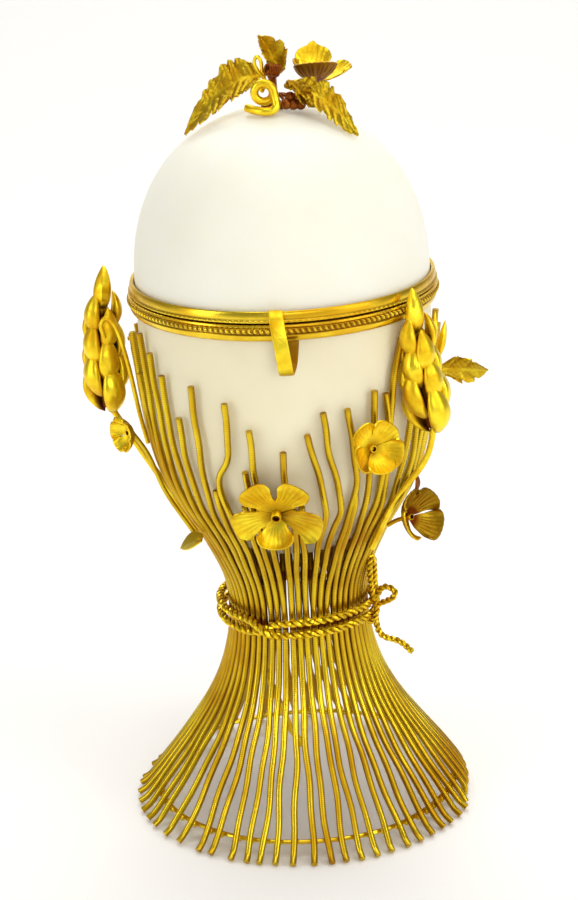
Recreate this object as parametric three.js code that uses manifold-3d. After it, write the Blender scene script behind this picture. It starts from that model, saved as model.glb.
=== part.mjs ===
// Egg-shaped box of satin opaline glass, held in a stand made as a sheaf of gilt wire straws.
// Millimetres, +Z up. The origin is on the floor under the middle of the egg, and the front faces -Y.
import * as THREE from 'three';
import { mergeVertices } from 'three/addons/utils/BufferGeometryUtils.js';
import Module from 'manifold-3d';

const wasm = await Module();
wasm.setup();

// Glass egg
const eggRadius = 38.5;
const partingHeight = 146;
const bowlDepth = 73;
const bowlBluntness = 2.45;
const domeRise = 43;
const domeBluntness = 2.15;
const glassWall = 2.6;
const roundSteps = 20;
const ringSteps = 16;

// Gilt bands round the two mouths
const bandWall = 1.4;
const bowlBandHeight = 4.3;
const lidBandHeight = 2.9;
const bandLip = 0.7;
const lipReach = 1.6;
const beadProud = 0.6;
const partingGap = 0.3;
const touchGap = 0.3;

// Straws of the sheaf
const bundleCount = 20;
const strawsPerBundle = 3;
const strawDiameter = 1.9;
const strawOverlap = 0.06;
const bundleGap = 0.25;
const strawLift = 0.7;
const footRadius = 48.7;
const pressedAzimuth = 98;
const pressedReach = 32;
const waistDrop = 10;
const waistLength = 17;
const contactDrop = 38;
const tipDrop = 13;
const tipScatter = 4;

// Ring inside the skirt, wire end inside the sheaf, and tie round the waist
const hoopRadius = 40.7;
const hoopWire = 1.3;
const hoopHeight = 4.2;
const stubWire = 2.0;
const stubLength = 7;
const stubReach = 5.9;
const stubDrop = 22;
const tieWire = 2.1;
const tieCordWire = 1.6;
const tieLift = 9.2;
const tiePitch = 3.8;
const knotWidth = 2.7;
const bowRise = 14.6;
const bowProud = 2.6;
const loopReach = 6.6;
const tailReach = 10.4;
const tailDrop = 9.8;

// Catch at the front and hinge at the back
const catchWidth = 3.7;
const catchThickness = 0.9;
const catchDrop = 13;
const catchAzimuth = -2;
const knuckleRadius = 1.6;
const knuckleLength = 4;
const knuckleGap = 0.3;
const pinRadius = 0.5;
const pinClearance = 0.25;
const hingeSheet = 0.8;
const hingeBridge = 1.6;

// Leaves and flowers are thin sheet on thin wires
const sheetThickness = 0.8;
const stalkWire = 1.4;
const frontFlowerRadius = 11.2;
const frontFlowerDrop = 51.3;
const rightFlowerRadius = 7.4;
const rightFlowerDrop = 34.8;
const rightFlowerProud = 2;
const sideFlowerRadius = 8;
const sideFlowerDrop = 60;
const sideFlowerProud = 6.9;
const leftFlowerRadius = 5;
const leftFlowerDrop = 36.2;
const leftFlowerProud = 4;
const curledLeafDrop = 25;
const lowerPetalDrop = 64.5;
const smallBudRise = 0.3;
const lidFlowerRadius = 8;

// Ears of wheat, measured from the parting of the box
const earTiers = 4;
const husksPerTier = 3;
const huskWidth = 8.6;
const leftEarTop = 7;
const leftEarLength = 40.5;
const leftEarProud = 8.4;
const rightEarTop = 2.5;
const rightEarLength = 37.5;
const rightEarProud = 7;

// Bouquet on the dome
const postRadius = 1.2;
const postHeight = 7;
const berryRadius = 1.9;
const leftLeafLength = 18.6;
const leftLeafWidth = 10;
const leftLeafRise = 7.8;
const rightLeafLength = 18.7;
const rightLeafWidth = 8;
const rightLeafRise = 6;
const leafRoot = 3;
const leafTipLift = 1.7;
const tendrilWire = 1.8;
const coilRadius = 2.4;

const opaline = new THREE.MeshStandardMaterial({ color: 0xf1ebdd, roughness: 0.45, metalness: 0 });
const gilt = new THREE.MeshStandardMaterial({ color: 0xd6a02a, roughness: 0.3, metalness: 1 });

const strawRadius = strawDiameter / 2;
const strawPitch = strawDiameter - strawOverlap;
const bundleWidth = (strawsPerBundle - 1) * strawPitch + strawDiameter + bundleGap;
const waistRadius = bundleCount * bundleWidth / (2 * Math.PI);
const bandInner = eggRadius + touchGap;
const bandOuter = bandInner + bandWall;
const lipInner = eggRadius - lipReach;
const bowlTop = partingHeight - bandLip - touchGap;
const bandFace = bandOuter + beadProud + touchGap;
const contactHeight = partingHeight - contactDrop;
const waistTop = partingHeight - bowlDepth - waistDrop;
const waistBottom = waistTop - waistLength;
const lidBottom = partingHeight + partingGap;
const domeSpring = lidBottom + lidBandHeight;
const domeTop = domeSpring + domeRise;
const stalkRadius = stalkWire / 2;

// Joining and cutting
function toSolid(geometry) {
  const bare = geometry.clone();
  bare.deleteAttribute('normal');
  bare.deleteAttribute('uv');
  const merged = mergeVertices(bare, 1e-4);
  const corners = Array.from(merged.index.array);
  const kept = [];
  for (let i = 0; i < corners.length; i += 3) {
    const [a, b, c] = corners.slice(i, i + 3);
    if (a !== b && b !== c && c !== a) kept.push(a, b, c);
  }
  return new wasm.Manifold(new wasm.Mesh({
    numProp: 3,
    vertProperties: Float32Array.from(merged.attributes.position.array),
    triVerts: Uint32Array.from(kept),
  }));
}

function toGeometry(solid) {
  const mesh = solid.getMesh();
  const geometry = new THREE.BufferGeometry();
  geometry.setAttribute('position', new THREE.BufferAttribute(mesh.vertProperties, 3));
  geometry.setIndex(new THREE.BufferAttribute(mesh.triVerts, 1));
  geometry.computeVertexNormals();
  return geometry;
}

function join(geometries) {
  const solids = geometries.map(toSolid);
  return toGeometry(solids.reduce((whole, next) => whole.add(next)));
}

// Small helpers for round and tubular work
const radians = THREE.MathUtils.degToRad;

// Azimuth 0 is the front, and it grows towards +X
function onAzimuth(radius, azimuth, height) {
  const turn = radians(azimuth);
  return new THREE.Vector3(radius * Math.sin(turn), -radius * Math.cos(turn), height);
}

function turned(profile) {
  const points = profile.map(([radius, height]) => new THREE.Vector2(radius, height));
  return new THREE.LatheGeometry(points, roundSteps).rotateX(Math.PI / 2);
}

function regularShape(radius, sides) {
  const shape = new THREE.Shape();
  for (let i = 0; i < sides; i += 1) {
    const turn = 2 * Math.PI * i / sides;
    const [x, y] = [radius * Math.cos(turn), radius * Math.sin(turn)];
    if (i === 0) shape.moveTo(x, y);
    else shape.lineTo(x, y);
  }
  return shape;
}

// A path whose steps fall on its own points
class PointPath extends THREE.Curve {
  constructor(points) {
    super();
    this.points = points;
  }

  getPoint(t, target = new THREE.Vector3()) {
    const place = t * (this.points.length - 1);
    const index = Math.min(Math.floor(place), this.points.length - 2);
    return target.lerpVectors(this.points[index], this.points[index + 1], place - index);
  }

  getPointAt(t, target) {
    return this.getPoint(t, target);
  }

  getTangentAt(t, target = new THREE.Vector3()) {
    const reach = 0.5 / (this.points.length - 1);
    const before = this.getPoint(Math.max(t - reach, 0));
    return target.copy(this.getPoint(Math.min(t + reach, 1))).sub(before).normalize();
  }
}

// The path of a straw drawn at the right-hand side, with corners of its section towards both neighbours
class StrawPath extends PointPath {
  computeFrenetFrames(segments) {
    const towardsNeighbour = new THREE.Vector3(0, 1, 0);
    const [tangents, normals, binormals] = [[], [], []];
    for (let i = 0; i <= segments; i += 1) {
      const tangent = this.getTangentAt(i / segments);
      const normal = new THREE.Vector3().crossVectors(towardsNeighbour, tangent).normalize();
      tangents.push(tangent);
      normals.push(normal);
      binormals.push(new THREE.Vector3().crossVectors(tangent, normal));
    }
    return { tangents, normals, binormals };
  }
}

function wire(extrudePath, radius, sides = 4) {
  const steps = extrudePath.points.length - 1;
  return new THREE.ExtrudeGeometry(regularShape(radius, sides), { steps, extrudePath });
}

function smoothWire(points, radius, steps, sides = 4) {
  const path = new THREE.CatmullRomCurve3(points);
  return new THREE.ExtrudeGeometry(regularShape(radius, sides), { steps, extrudePath: path });
}

// Outlines of the egg
function roundedEnd(share, bluntness) {
  return Math.pow(Math.max(1 - Math.pow(share, bluntness), 0), 1 / bluntness);
}

function bowlRadius(height) {
  const share = (partingHeight - height) / bowlDepth;
  return eggRadius * roundedEnd(Math.min(share, 1), bowlBluntness);
}

// How far the dome lies below its top at a distance from the axis
function domeDrop(radius) {
  return domeRise * (1 - roundedEnd(radius / eggRadius, domeBluntness));
}

function shellProfile(radius, reach, bluntness, steps) {
  const rows = [];
  for (let i = 0; i <= steps; i += 1) {
    const turn = (Math.PI / 2) * i / steps;
    const height = Math.pow(Math.sin(turn), 2 / bluntness);
    rows.push([radius * (i === steps ? 0 : roundedEnd(height, bluntness)), reach * height]);
  }
  return rows;
}

// Glass
function eggBowl() {
  const outer = shellProfile(eggRadius, bowlDepth, bowlBluntness, 7)
    .map(([r, depth]) => [r, Math.min(partingHeight - depth, bowlTop)]);
  const inner = shellProfile(eggRadius - glassWall, bowlDepth - glassWall, bowlBluntness, 4)
    .map(([r, depth]) => [r, Math.min(partingHeight - depth, bowlTop)]);
  return turned([...outer.reverse(), ...inner]);
}

function eggLid() {
  const foot = lidBottom + bandLip + touchGap;
  const outer = shellProfile(eggRadius, domeRise, domeBluntness, 6)
    .map(([r, rise]) => [r, domeSpring + rise]);
  const inner = shellProfile(eggRadius - glassWall, domeRise - glassWall, domeBluntness, 4)
    .map(([r, rise]) => [r, domeSpring + rise]);
  return turned([[eggRadius - glassWall, foot], [eggRadius, foot], ...outer, ...inner.reverse(),
    [eggRadius - glassWall, foot]]);
}

// Bands: a plain flange, a beaded row and a lip over the edge of the glass
function bowlRim() {
  const bottom = partingHeight - bowlBandHeight;
  return turned([[bandInner, bottom], [bandOuter - 0.5, bottom], [bandOuter + 0.1, bottom + 1],
    [bandOuter + 0.1, partingHeight - 2.4], [bandOuter + beadProud, partingHeight - 1.7],
    [bandOuter + 0.2, partingHeight - 1], [bandOuter + 0.2, partingHeight],
    [lipInner, partingHeight], [lipInner, partingHeight - bandLip], [bandInner, partingHeight - bandLip],
    [bandInner, bottom]]);
}

function lidRim() {
  const top = lidBottom + lidBandHeight;
  return turned([[lipInner, lidBottom], [bandOuter, lidBottom], [bandOuter + 0.1, lidBottom + 0.6],
    [bandOuter - 0.5, top], [bandInner, top], [bandInner, lidBottom + bandLip],
    [lipInner, lidBottom + bandLip], [lipInner, lidBottom]]);
}

// Strap on the lid band that runs down over the bowl band and curls in at its lower end
function thumbCatch() {
  const top = lidBottom + lidBandHeight;
  const tip = partingHeight - catchDrop;
  const shank = catchThickness + 0.4;
  const curl = catchThickness + 1.7;
  const outline = [[beadProud * -1, top + 0.6], [catchThickness, top + 0.2], [shank, partingHeight - 2],
    [curl - 0.1, partingHeight - 6], [curl, tip + 2.6], [catchThickness + 0.6, tip + 0.5], [-0.4, tip],
    [-1.3, tip + 1.4], [-1.2, tip + 3.4], [-0.4, tip + 3.4], [-0.3, tip + 1.8], [0.4, tip + 1.4],
    [curl - catchThickness - 0.8, tip + 3], [curl - catchThickness - 0.9, partingHeight - 6],
    [0, partingHeight - 2], [-0.1, lidBottom + 0.6], [0.1 - beadProud, lidBottom + 0.7]];
  const side = new THREE.Shape(outline.map(([proud, height]) => new THREE.Vector2(bandFace + proud, height)));
  const strap = new THREE.ExtrudeGeometry(side, { depth: catchWidth, bevelEnabled: false });
  return strap.translate(0, 0, -catchWidth / 2).rotateX(Math.PI / 2)
    .rotateZ(radians(catchAzimuth - 90));
}

// Hinge behind the bands: two knuckles on the bowl, one on the lid and a pin through all three
const hingeAxisY = bandFace + knuckleRadius;
const hingeAxisZ = partingHeight + partingGap / 2;
const hingeSides = 6;
const boreRadius = (pinRadius + pinClearance) / Math.cos(Math.PI / hingeSides);

function knuckle(middle) {
  const ring = regularShape(knuckleRadius, hingeSides);
  ring.holes.push(new THREE.Path(regularShape(boreRadius, hingeSides).getPoints()));
  const tube = new THREE.ExtrudeGeometry(ring, { depth: knuckleLength, bevelEnabled: false });
  return tube.rotateY(Math.PI / 2).translate(middle - knuckleLength / 2, hingeAxisY, hingeAxisZ);
}

function hingePlate(middle, low, high, width = knuckleLength) {
  const plate = new THREE.BoxGeometry(width, hingeSheet, high - low);
  return plate.translate(middle, bandFace + hingeSheet / 2, (low + high) / 2);
}

function hingeBase() {
  const apart = knuckleLength + knuckleGap;
  const low = partingHeight - bowlBandHeight;
  const high = hingeAxisZ - boreRadius;
  const plates = [-apart, apart].map((middle) => hingePlate(middle, low, high));
  const bridge = hingePlate(0, low, low + hingeBridge, 2 * apart);
  return join([knuckle(-apart), knuckle(apart), ...plates, bridge]);
}

function hingeLid() {
  return join([knuckle(0), hingePlate(0, hingeAxisZ + boreRadius, lidBottom + lidBandHeight)]);
}

function hingePin() {
  const length = 3 * knuckleLength + 2 * knuckleGap;
  return new THREE.CylinderGeometry(pinRadius, pinRadius, length, hingeSides).rotateZ(Math.PI / 2)
    .translate(0, hingeAxisY, hingeAxisZ);
}

// The line that every straw follows, as radius and height from the floor up, always clear of the bowl
const hoopPass = hoopRadius + 1.25 * ((hoopWire + strawDiameter) / 2 + touchGap);
const glassOffset = touchGap + strawLift + strawRadius;
const facetSag = 0.4;
const skirtSpread = hoopPass - waistRadius;
const basketSpread = bowlRadius(contactHeight) + glassOffset - waistRadius;

function skirtPoint(outwards, up) {
  return [waistRadius + outwards * skirtSpread, hoopHeight + up * (waistBottom - hoopHeight)];
}

function basketPoint(outwards, up) {
  const height = waistTop + up * (contactHeight - waistTop);
  const clear = bowlRadius(height) + glassOffset + facetSag;
  return [Math.max(waistRadius + outwards * basketSpread, clear), height];
}

const strawLine = [
  [footRadius, 0],
  skirtPoint(1, 0.01),
  skirtPoint(0.31, 0.58),
  skirtPoint(0.03, 1),
  [waistRadius, waistTop],
  basketPoint(0.29, 0.32),
  basketPoint(0.74, 0.65),
  [bowlRadius(contactHeight) + glassOffset, contactHeight],
];

function sheafRadius(height) {
  const next = strawLine.findIndex(([, z]) => z >= height);
  if (next < 0) return bowlRadius(height) + glassOffset;
  if (next === 0) return footRadius;
  const [[r0, z0], [r1, z1]] = [strawLine[next - 1], strawLine[next]];
  return r0 + (r1 - r0) * (height - z0) / (z1 - z0);
}

// Straws seen on the front, counted from the middle: azimuth of the tip and its drop below the parting
const chosenTips = {
  '-13': [-79, 9], '-12': [-74, 18], '-11': [-68, 7], '-10': [-60, 10], '-9': [-53, 15],
  '-8': [-46, 26], '-7': [-37.5, 16], '-6': [-33, 46], '-5': [-24, 19.5], '-4': [-22.3, 50],
  '-3': [-19, 39], '-2': [-15.5, 27], '-1': [-3, 33], 0: [0, 51], 1: [3.5, 50],
  2: [6, 28.5], 3: [12, 22.5], 4: [21.5, 22.5], 5: [28, 48], 6: [33, 19],
  7: [38, 20.5], 8: [47, 7], 9: [54, 28], 10: [61, 8], 11: [67, 20],
};

// Azimuths of the feet on the front, from straw -17 on; the others share out what is left of the round
const firstFoot = -17;
const frontFeet = [-111.5, -101.7, -97.4, -90.1, -83.8, -76.4, -70.2, -64.6, -55.7, -49, -39.6, -34.5, -27.4,
  -21.2, -16.7, -11.9, -5.5, 0.8, 6.2, 11.6, 16.3, 22.1, 27.6, 33, 38.8, 44.2, 49.7, 55, 60.4, 65.6, 70.8];
const strawCount = bundleCount * strawsPerBundle;

function evenAzimuth(number) {
  return number * 360 / strawCount;
}

function tipOf(number) {
  const scatter = tipScatter * Math.sin(1.9 * number);
  const [azimuth, drop] = chosenTips[number] || [evenAzimuth(number), tipDrop + scatter];
  return [azimuth, partingHeight - drop];
}

function footOf(number) {
  const last = frontFeet.length - 1;
  const beyond = number < firstFoot ? number + strawCount - firstFoot - last : number - firstFoot - last;
  if (beyond <= 0) return frontFeet[number - firstFoot];
  const open = 360 - frontFeet[last] + frontFeet[0];
  const azimuth = frontFeet[last] + beyond * open / (strawCount - last);
  return number < firstFoot ? azimuth - 360 : azimuth;
}

// The skirt is pressed in at the right-hand side, where the feet stand just outside the ring
function footReach(azimuth) {
  const off = Math.min(Math.abs(azimuth - pressedAzimuth) / pressedReach, 1);
  return footRadius - (footRadius - hoopPass - touchGap) * (1 - off ** 4);
}

function straw(number, packedAzimuth) {
  const [tipAzimuth, tipHeight] = tipOf(number);
  const below = [2 * footReach(footOf(number)) - strawLine[1][0], -strawLine[1][1]];
  const line = [below, ...strawLine.slice(1).filter(([, z]) => z < tipHeight - 4)];
  line.push([sheafRadius(tipHeight), tipHeight]);
  const points = line.map(([radius, height]) => {
    const spread = height < waistBottom ? (waistBottom - height) / waistBottom : 0;
    const climb = height > waistTop ? (height - waistTop) / (tipHeight - waistTop) : 0;
    const sideways = spread * (footOf(number) - packedAzimuth) + climb * (tipAzimuth - packedAzimuth);
    return onAzimuth(radius, 90 + sideways, height);
  });
  return wire(new StrawPath(points), strawRadius).rotateZ(radians(packedAzimuth - 90));
}

function strawBundle(index) {
  const pitchAngle = THREE.MathUtils.radToDeg(strawPitch / waistRadius);
  const half = (strawsPerBundle - 1) / 2;
  const turn = index > bundleCount / 2 ? index - bundleCount : index;
  const straws = [];
  for (let j = -half; j <= half; j += 1) {
    straws.push(straw(Math.round(turn * strawsPerBundle + j), turn * 360 / bundleCount + j * pitchAngle));
  }
  const floor = new THREE.BoxGeometry(200, 200, 40).translate(0, 0, -20);
  const whole = straws.map(toSolid).reduce((sum, next) => sum.add(next));
  return toGeometry(whole.subtract(toSolid(floor)));
}

// Round ring of wire
function wireRing(radius, wireRadius, height) {
  return new THREE.TorusGeometry(radius, wireRadius, 4, ringSteps).translate(0, 0, height);
}

// Binding wire that leaves the inside of the waist and ends in the open, where it shows between the straws
function innerStub() {
  const stubRadius = stubWire / 2;
  const held = onAzimuth(waistRadius - strawRadius - touchGap - stubRadius, -120, waistBottom);
  const bend = onAzimuth(stubReach, -70, waistBottom - stubDrop);
  const end = bend.clone().add(new THREE.Vector3(0.45, 0, -0.9).multiplyScalar(stubLength));
  return wire(new PointPath([held, bend, end]), stubRadius, 6);
}

// Two turns of twisted wire with a knot, a bow loop and a loose tail at the right
function sheafTie() {
  const low = waistBottom + tieLift;
  const high = low + tiePitch;
  const flatRadius = sheafRadius(low) + strawRadius + touchGap + tieWire / 2;
  const radius = flatRadius / Math.cos(Math.PI / ringSteps);
  const knotAzimuth = 65;
  const knot = new THREE.IcosahedronGeometry(1, 0).scale(knotWidth / 2, tiePitch / 2, 0.9 * tiePitch);
  knot.rotateZ(radians(knotAzimuth)).translate(...onAzimuth(radius + 0.5, knotAzimuth, (low + high) / 2));
  const bow = [[0.3, 0, 0], [0.4, -3, 0.41], [0.8, -8, 0.82], [0.9, -6, 1], [1, -1, 0.62],
    [0.39, 0, 0.07]].map(([out, turn, up]) => [out * bowProud, turn, high + up * bowRise]);
  const loop = [[0.15, 0], [0.64, 0.67], [1, 0.36], [0.73, -0.15], [0.15, -0.3]]
    .map(([out, up]) => [out * loopReach, 0, high + up * loopReach]);
  const tail = [[0.08, 0, -0.08], [0.17, 1, 0.43], [0.33, 1, 0.69], [0.71, 0, 0.78], [1, -2, 1]]
    .map(([out, turn, down]) => [out * tailReach, turn, low - down * tailDrop]);
  const cords = [bow, loop, tail].map((places) => {
    const points = places.map(([out, turn, height]) => onAzimuth(radius + out, knotAzimuth + turn, height));
    return smoothWire(points, tieCordWire / 2, points.length + 1, 3);
  });
  const rings = [low, high].map((height) => wireRing(radius, tieWire / 2, height));
  return join([...rings, knot, ...cords]);
}

// An ear of wheat, standing on its lower end: pointed husks in tiers round a thin core
function husk(length, width, depth) {
  const profile = [[0, 0], [0.5, 0.4], [0, 1]].map(([r, z]) => new THREE.Vector2(r, z));
  return new THREE.LatheGeometry(profile, 4).rotateX(Math.PI / 2).scale(width, depth, length);
}

function wheatEar(length) {
  const core = new THREE.CylinderGeometry(1.4, 2, length * 0.8, 4).rotateX(Math.PI / 2)
    .translate(0, 0, length * 0.4);
  const parts = [core];
  const step = length * 0.6 / (earTiers - 1);
  for (let tier = 0; tier < earTiers; tier += 1) {
    const shrink = 1 - 0.35 * tier / (earTiers - 1);
    for (let side = 0; side < husksPerTier; side += 1) {
      const grain = husk(length * 0.4 * shrink, huskWidth * shrink, huskWidth * 0.62 * shrink);
      grain.rotateX(radians(-20)).translate(0, 1.1, 0);
      grain.rotateZ(radians(360 * side / husksPerTier + (tier % 2) * 180 / husksPerTier));
      parts.push(grain.translate(0, 0, tier * step));
    }
  }
  const crown = husk(length * 0.3, huskWidth * 0.7, huskWidth * 0.6).translate(0, 0, length * 0.7);
  return join([...parts, crown]);
}

// A flower of sheet metal in the XY plane, cupped towards +Z, with a small tube in the middle
function flower(radius, cup, tubeRadius) {
  const outline = new THREE.Shape();
  const petals = 5;
  const petalEdge = [[0.3, -36], [0.75, -31], [0.98, -15], [0.98, 15], [0.75, 31]];
  for (let petal = 0; petal < petals; petal += 1) {
    petalEdge.forEach(([share, swing], index) => {
      const turn = radians(swing + 360 * petal / petals + 90);
      const [x, y] = [radius * share * Math.cos(turn), radius * share * Math.sin(turn)];
      if (petal === 0 && index === 0) outline.moveTo(x, y);
      else outline.lineTo(x, y);
    });
  }
  const plate = new THREE.ExtrudeGeometry(outline, { depth: sheetThickness, bevelEnabled: false });
  const place = plate.attributes.position;
  for (let i = 0; i < place.count; i += 1) {
    const out = Math.hypot(place.getX(i), place.getY(i)) / radius;
    place.setZ(i, place.getZ(i) + cup * out * out);
  }
  const tube = new THREE.CylinderGeometry(tubeRadius, tubeRadius * 0.8, 3, 5).rotateX(Math.PI / 2)
    .translate(0, 0, 1.6);
  return join([plate, tube]);
}

// A toothed leaf along +X, folded along its midrib, rolled about its length and bent down towards its tip
function leaf(length, width, droop, roll = 0, stations = 4, twist = 0) {
  const blade = new THREE.BoxGeometry(length, 1, sheetThickness, stations, 2, 1).translate(length / 2, 0, 0);
  const place = blade.attributes.position;
  for (let i = 0; i < place.count; i += 1) {
    const along = place.getX(i) / length;
    const tooth = Math.round(along * stations) % 2 ? 1 : 0.72;
    const spread = width * tooth * Math.sin(Math.PI * Math.min(0.12 + 0.86 * along, 1)) + 0.5;
    const across = place.getY(i) * spread;
    const turn = radians(roll + twist * along);
    const fold = 0.35 * Math.abs(across) + place.getZ(i);
    place.setY(i, across * Math.cos(turn) - fold * Math.sin(turn));
    place.setZ(i, across * Math.sin(turn) + fold * Math.cos(turn) - droop * along * along);
  }
  return blade;
}

// Places on the outside of the sheaf, by height and azimuth
function onSheaf(height, azimuth, proud) {
  return onAzimuth(sheafRadius(height) + strawRadius + touchGap + proud, azimuth, height);
}

// Points of a wire that lies on the straws, at the heights where the straws bend
function alongStraws(azimuth, radius) {
  return strawLine.slice(-3, -1).map(([, height]) => onSheaf(height, azimuth, radius + 0.4));
}

// A place on the outside of the sheaf, by its drop below the parting
function belowParting(drop, azimuth, proud) {
  return onSheaf(partingHeight - drop, azimuth, proud);
}

const base = new THREE.Group();
const lid = new THREE.Group();
const group = new THREE.Group();
group.add(base, lid);

function add(parent, name, geometry, material = gilt) {
  const mesh = new THREE.Mesh(geometry, material);
  mesh.name = name;
  parent.add(mesh);
  return mesh;
}

// Turns a piece that faces +Z so that it faces outwards at an azimuth, tipped up by an angle
function face(mesh, place, azimuth, tip) {
  const z = onAzimuth(Math.cos(radians(tip)), azimuth, Math.sin(radians(tip)));
  const x = new THREE.Vector3(0, 0, 1).cross(z).normalize();
  const y = new THREE.Vector3().crossVectors(z, x);
  mesh.quaternion.setFromRotationMatrix(new THREE.Matrix4().makeBasis(x, y, z));
  mesh.position.copy(place);
  return mesh;
}

// Lays a leaf from a place along a direction, with its upper side towards another direction
function lay(mesh, place, along, above) {
  const x = new THREE.Vector3(...along).normalize();
  const y = new THREE.Vector3(...above).cross(x).normalize();
  const z = new THREE.Vector3().crossVectors(x, y);
  mesh.quaternion.setFromRotationMatrix(new THREE.Matrix4().makeBasis(x, y, z));
  mesh.position.copy(place);
  return mesh;
}

add(base, 'egg_bowl', eggBowl(), opaline);
add(base, 'bowl_rim', bowlRim());
add(base, 'hinge_base', hingeBase());
add(base, 'hinge_pin', hingePin());
for (let index = 0; index < bundleCount; index += 1) {
  add(base, `straws_${String(index + 1).padStart(2, '0')}`, strawBundle(index));
}
add(base, 'foot_hoop', wireRing(hoopRadius, hoopWire / 2, hoopHeight));
add(base, 'inner_stub', innerStub());
add(base, 'sheaf_tie', sheafTie());

// Ears of wheat, each on a straw of its own that lies on the outside of the sheaf
function earOnStraw(azimuth, strawAzimuth, proud, top, length, lean) {
  const radius = bandOuter + proud;
  const bottom = partingHeight + top - length;
  const foot = onAzimuth(radius, azimuth, bottom);
  const ear = wheatEar(length).rotateY(radians(lean)).translate(...foot);
  const bend = onAzimuth(0.4 * radius + 0.6 * (sheafRadius(bottom) + strawDiameter), azimuth, bottom - 7);
  const inside = foot.clone().add(new THREE.Vector3(0, 0, 2));
  const stalk = new PointPath([...alongStraws(strawAzimuth, strawRadius), bend, inside]);
  return join([ear, wire(stalk, strawRadius, 5)]);
}

add(base, 'wheat_ear_left', earOnStraw(-93, -93, leftEarProud, leftEarTop, leftEarLength, -1));
add(base, 'wheat_ear_right', earOnStraw(54, 49, rightEarProud, rightEarTop, rightEarLength, -7));

// Flowers on the sheaf
const frontFlower = add(base, 'front_flower', flower(frontFlowerRadius, 3.2, 1.7));
face(frontFlower, belowParting(frontFlowerDrop, -7.2, 1.6), -7.2, -19);
const rightFlower = add(base, 'right_flower', flower(rightFlowerRadius, 3.2, 1.1));
face(rightFlower, belowParting(rightFlowerDrop, 31.8, rightFlowerProud), 25, 8);

function flowerOnWire(name, radius, place, azimuth, tip, stalk) {
  const mesh = add(base, name, flower(radius, radius * 0.45, 0.9));
  face(mesh, place, azimuth, tip);
  mesh.updateMatrix();
  const toLocal = mesh.matrix.clone().invert();
  const points = stalk.map((point) => point.clone().applyMatrix4(toLocal));
  points.push(new THREE.Vector3(0, 0, sheetThickness * 0.8));
  mesh.geometry = join([mesh.geometry, smoothWire(points, stalkRadius, 4)]);
}

const sidePlace = belowParting(sideFlowerDrop, 61, sideFlowerProud);
const sideStalk = [belowParting(sideFlowerDrop + 3, 58, stalkRadius + 0.3),
  belowParting(sideFlowerDrop + 1.5, 60, stalkRadius + 2.5)];
flowerOnWire('side_flower', sideFlowerRadius, sidePlace, 62, 4, sideStalk);
const leftPlace = belowParting(leftFlowerDrop, -78.8, leftFlowerProud);
flowerOnWire('left_flower', leftFlowerRadius, leftPlace, -52, 0, alongStraws(-76, stalkRadius));

// Leaves on the sheaf
const curledLeaf = add(base, 'curled_leaf', leaf(12, 7.5, 2.5, 35, 4, 50));
lay(curledLeaf, belowParting(curledLeafDrop, 92, 1.4), [1, 0, 0.05], [0, -0.6, 0.8]);
const lowerPetal = add(base, 'lower_petal', leaf(7, 5, 2));
lay(lowerPetal, belowParting(lowerPetalDrop, -58, 1.4), [-1, 0.35, -0.3], [0, -0.5, 0.85]);
const smallBud = add(base, 'small_bud', leaf(5, 3, 1));
const budHeight = waistTop + smallBudRise * (partingHeight - waistTop);
lay(smallBud, onSheaf(budHeight, 80, 1.6), [0.3, 0, 1], [1, -0.3, 0]);

add(lid, 'egg_lid', eggLid(), opaline);
add(lid, 'lid_rim', lidRim());
add(lid, 'thumb_catch', thumbCatch());
add(lid, 'hinge_lid', hingeLid());

// Bouquet on top of the dome, drawn from the top of the glass: a post on a disc, with three berries beside it
function berryPost() {
  const disc = new THREE.CylinderGeometry(2 * postRadius, 2.8 * postRadius, 1.4, 6).rotateX(Math.PI / 2)
    .translate(0, 0, touchGap + 0.7);
  const post = new THREE.CylinderGeometry(postRadius, postRadius, postHeight, 6).rotateX(Math.PI / 2)
    .translate(0, 0, touchGap + postHeight / 2);
  const parts = [disc, post];
  for (let i = 0; i < 3; i += 1) {
    const berry = new THREE.OctahedronGeometry(berryRadius, 0);
    parts.push(berry.translate(2.6 + 2.3 * i, -5 + 1.2 * i, berryRadius + 0.6 - 0.2 * i));
  }
  const stalk = [new THREE.Vector3(0, 0, 2), new THREE.Vector3(2.6, -5, berryRadius + 0.6)];
  return join([...parts, smoothWire(stalk, stalkRadius, 1)]);
}

// Coiled tendril in front of the post, with a tail that curls under it along the dome
function tendrils() {
  const coilSteps = 7;
  const points = [new THREE.Vector3(-2.5, -1.2, 5.6)];
  for (let i = 0; i <= coilSteps; i += 1) {
    const turn = Math.PI * (0.5 + 0.3 * i);
    const [x, z] = [-coilRadius * Math.cos(turn), coilRadius * Math.sin(turn)];
    points.push(new THREE.Vector3(x - 2.3, -3.6 - 0.6 * i, z + 5));
  }
  const onDome = (x, y, lift) => new THREE.Vector3(x, y, tendrilWire / 2 + lift - domeDrop(Math.hypot(x, y)));
  points.push(onDome(1.3, -8.6, 3.8), onDome(0.9, -9.6, 1.5), onDome(-1.2, -9.8, 0.7), onDome(-5, -8, 0.7));
  return smoothWire(points, tendrilWire / 2, 18);
}

function ribbedCoil() {
  const rings = [[0, 0], [1.9, 0.3], [1.3, 1], [1.8, 1.7], [1.1, 2.4], [1.5, 3.1], [0, 3.6]]
    .map(([r, z]) => new THREE.Vector2(r, z));
  return new THREE.LatheGeometry(rings, 6).rotateX(Math.PI / 2);
}

// A leaf of the bouquet whose tip ends just over the dome
function domeLeaf(name, place, direction, length, width, roll) {
  const along = new THREE.Vector3(...direction).normalize().multiplyScalar(length);
  const tip = place.clone().add(along);
  const droop = tip.z + domeDrop(Math.hypot(tip.x, tip.y)) - leafTipLift;
  lay(add(bouquet, name, leaf(length, width, droop, roll, 7)), place, direction, [0, 0, 1]);
}

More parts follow.
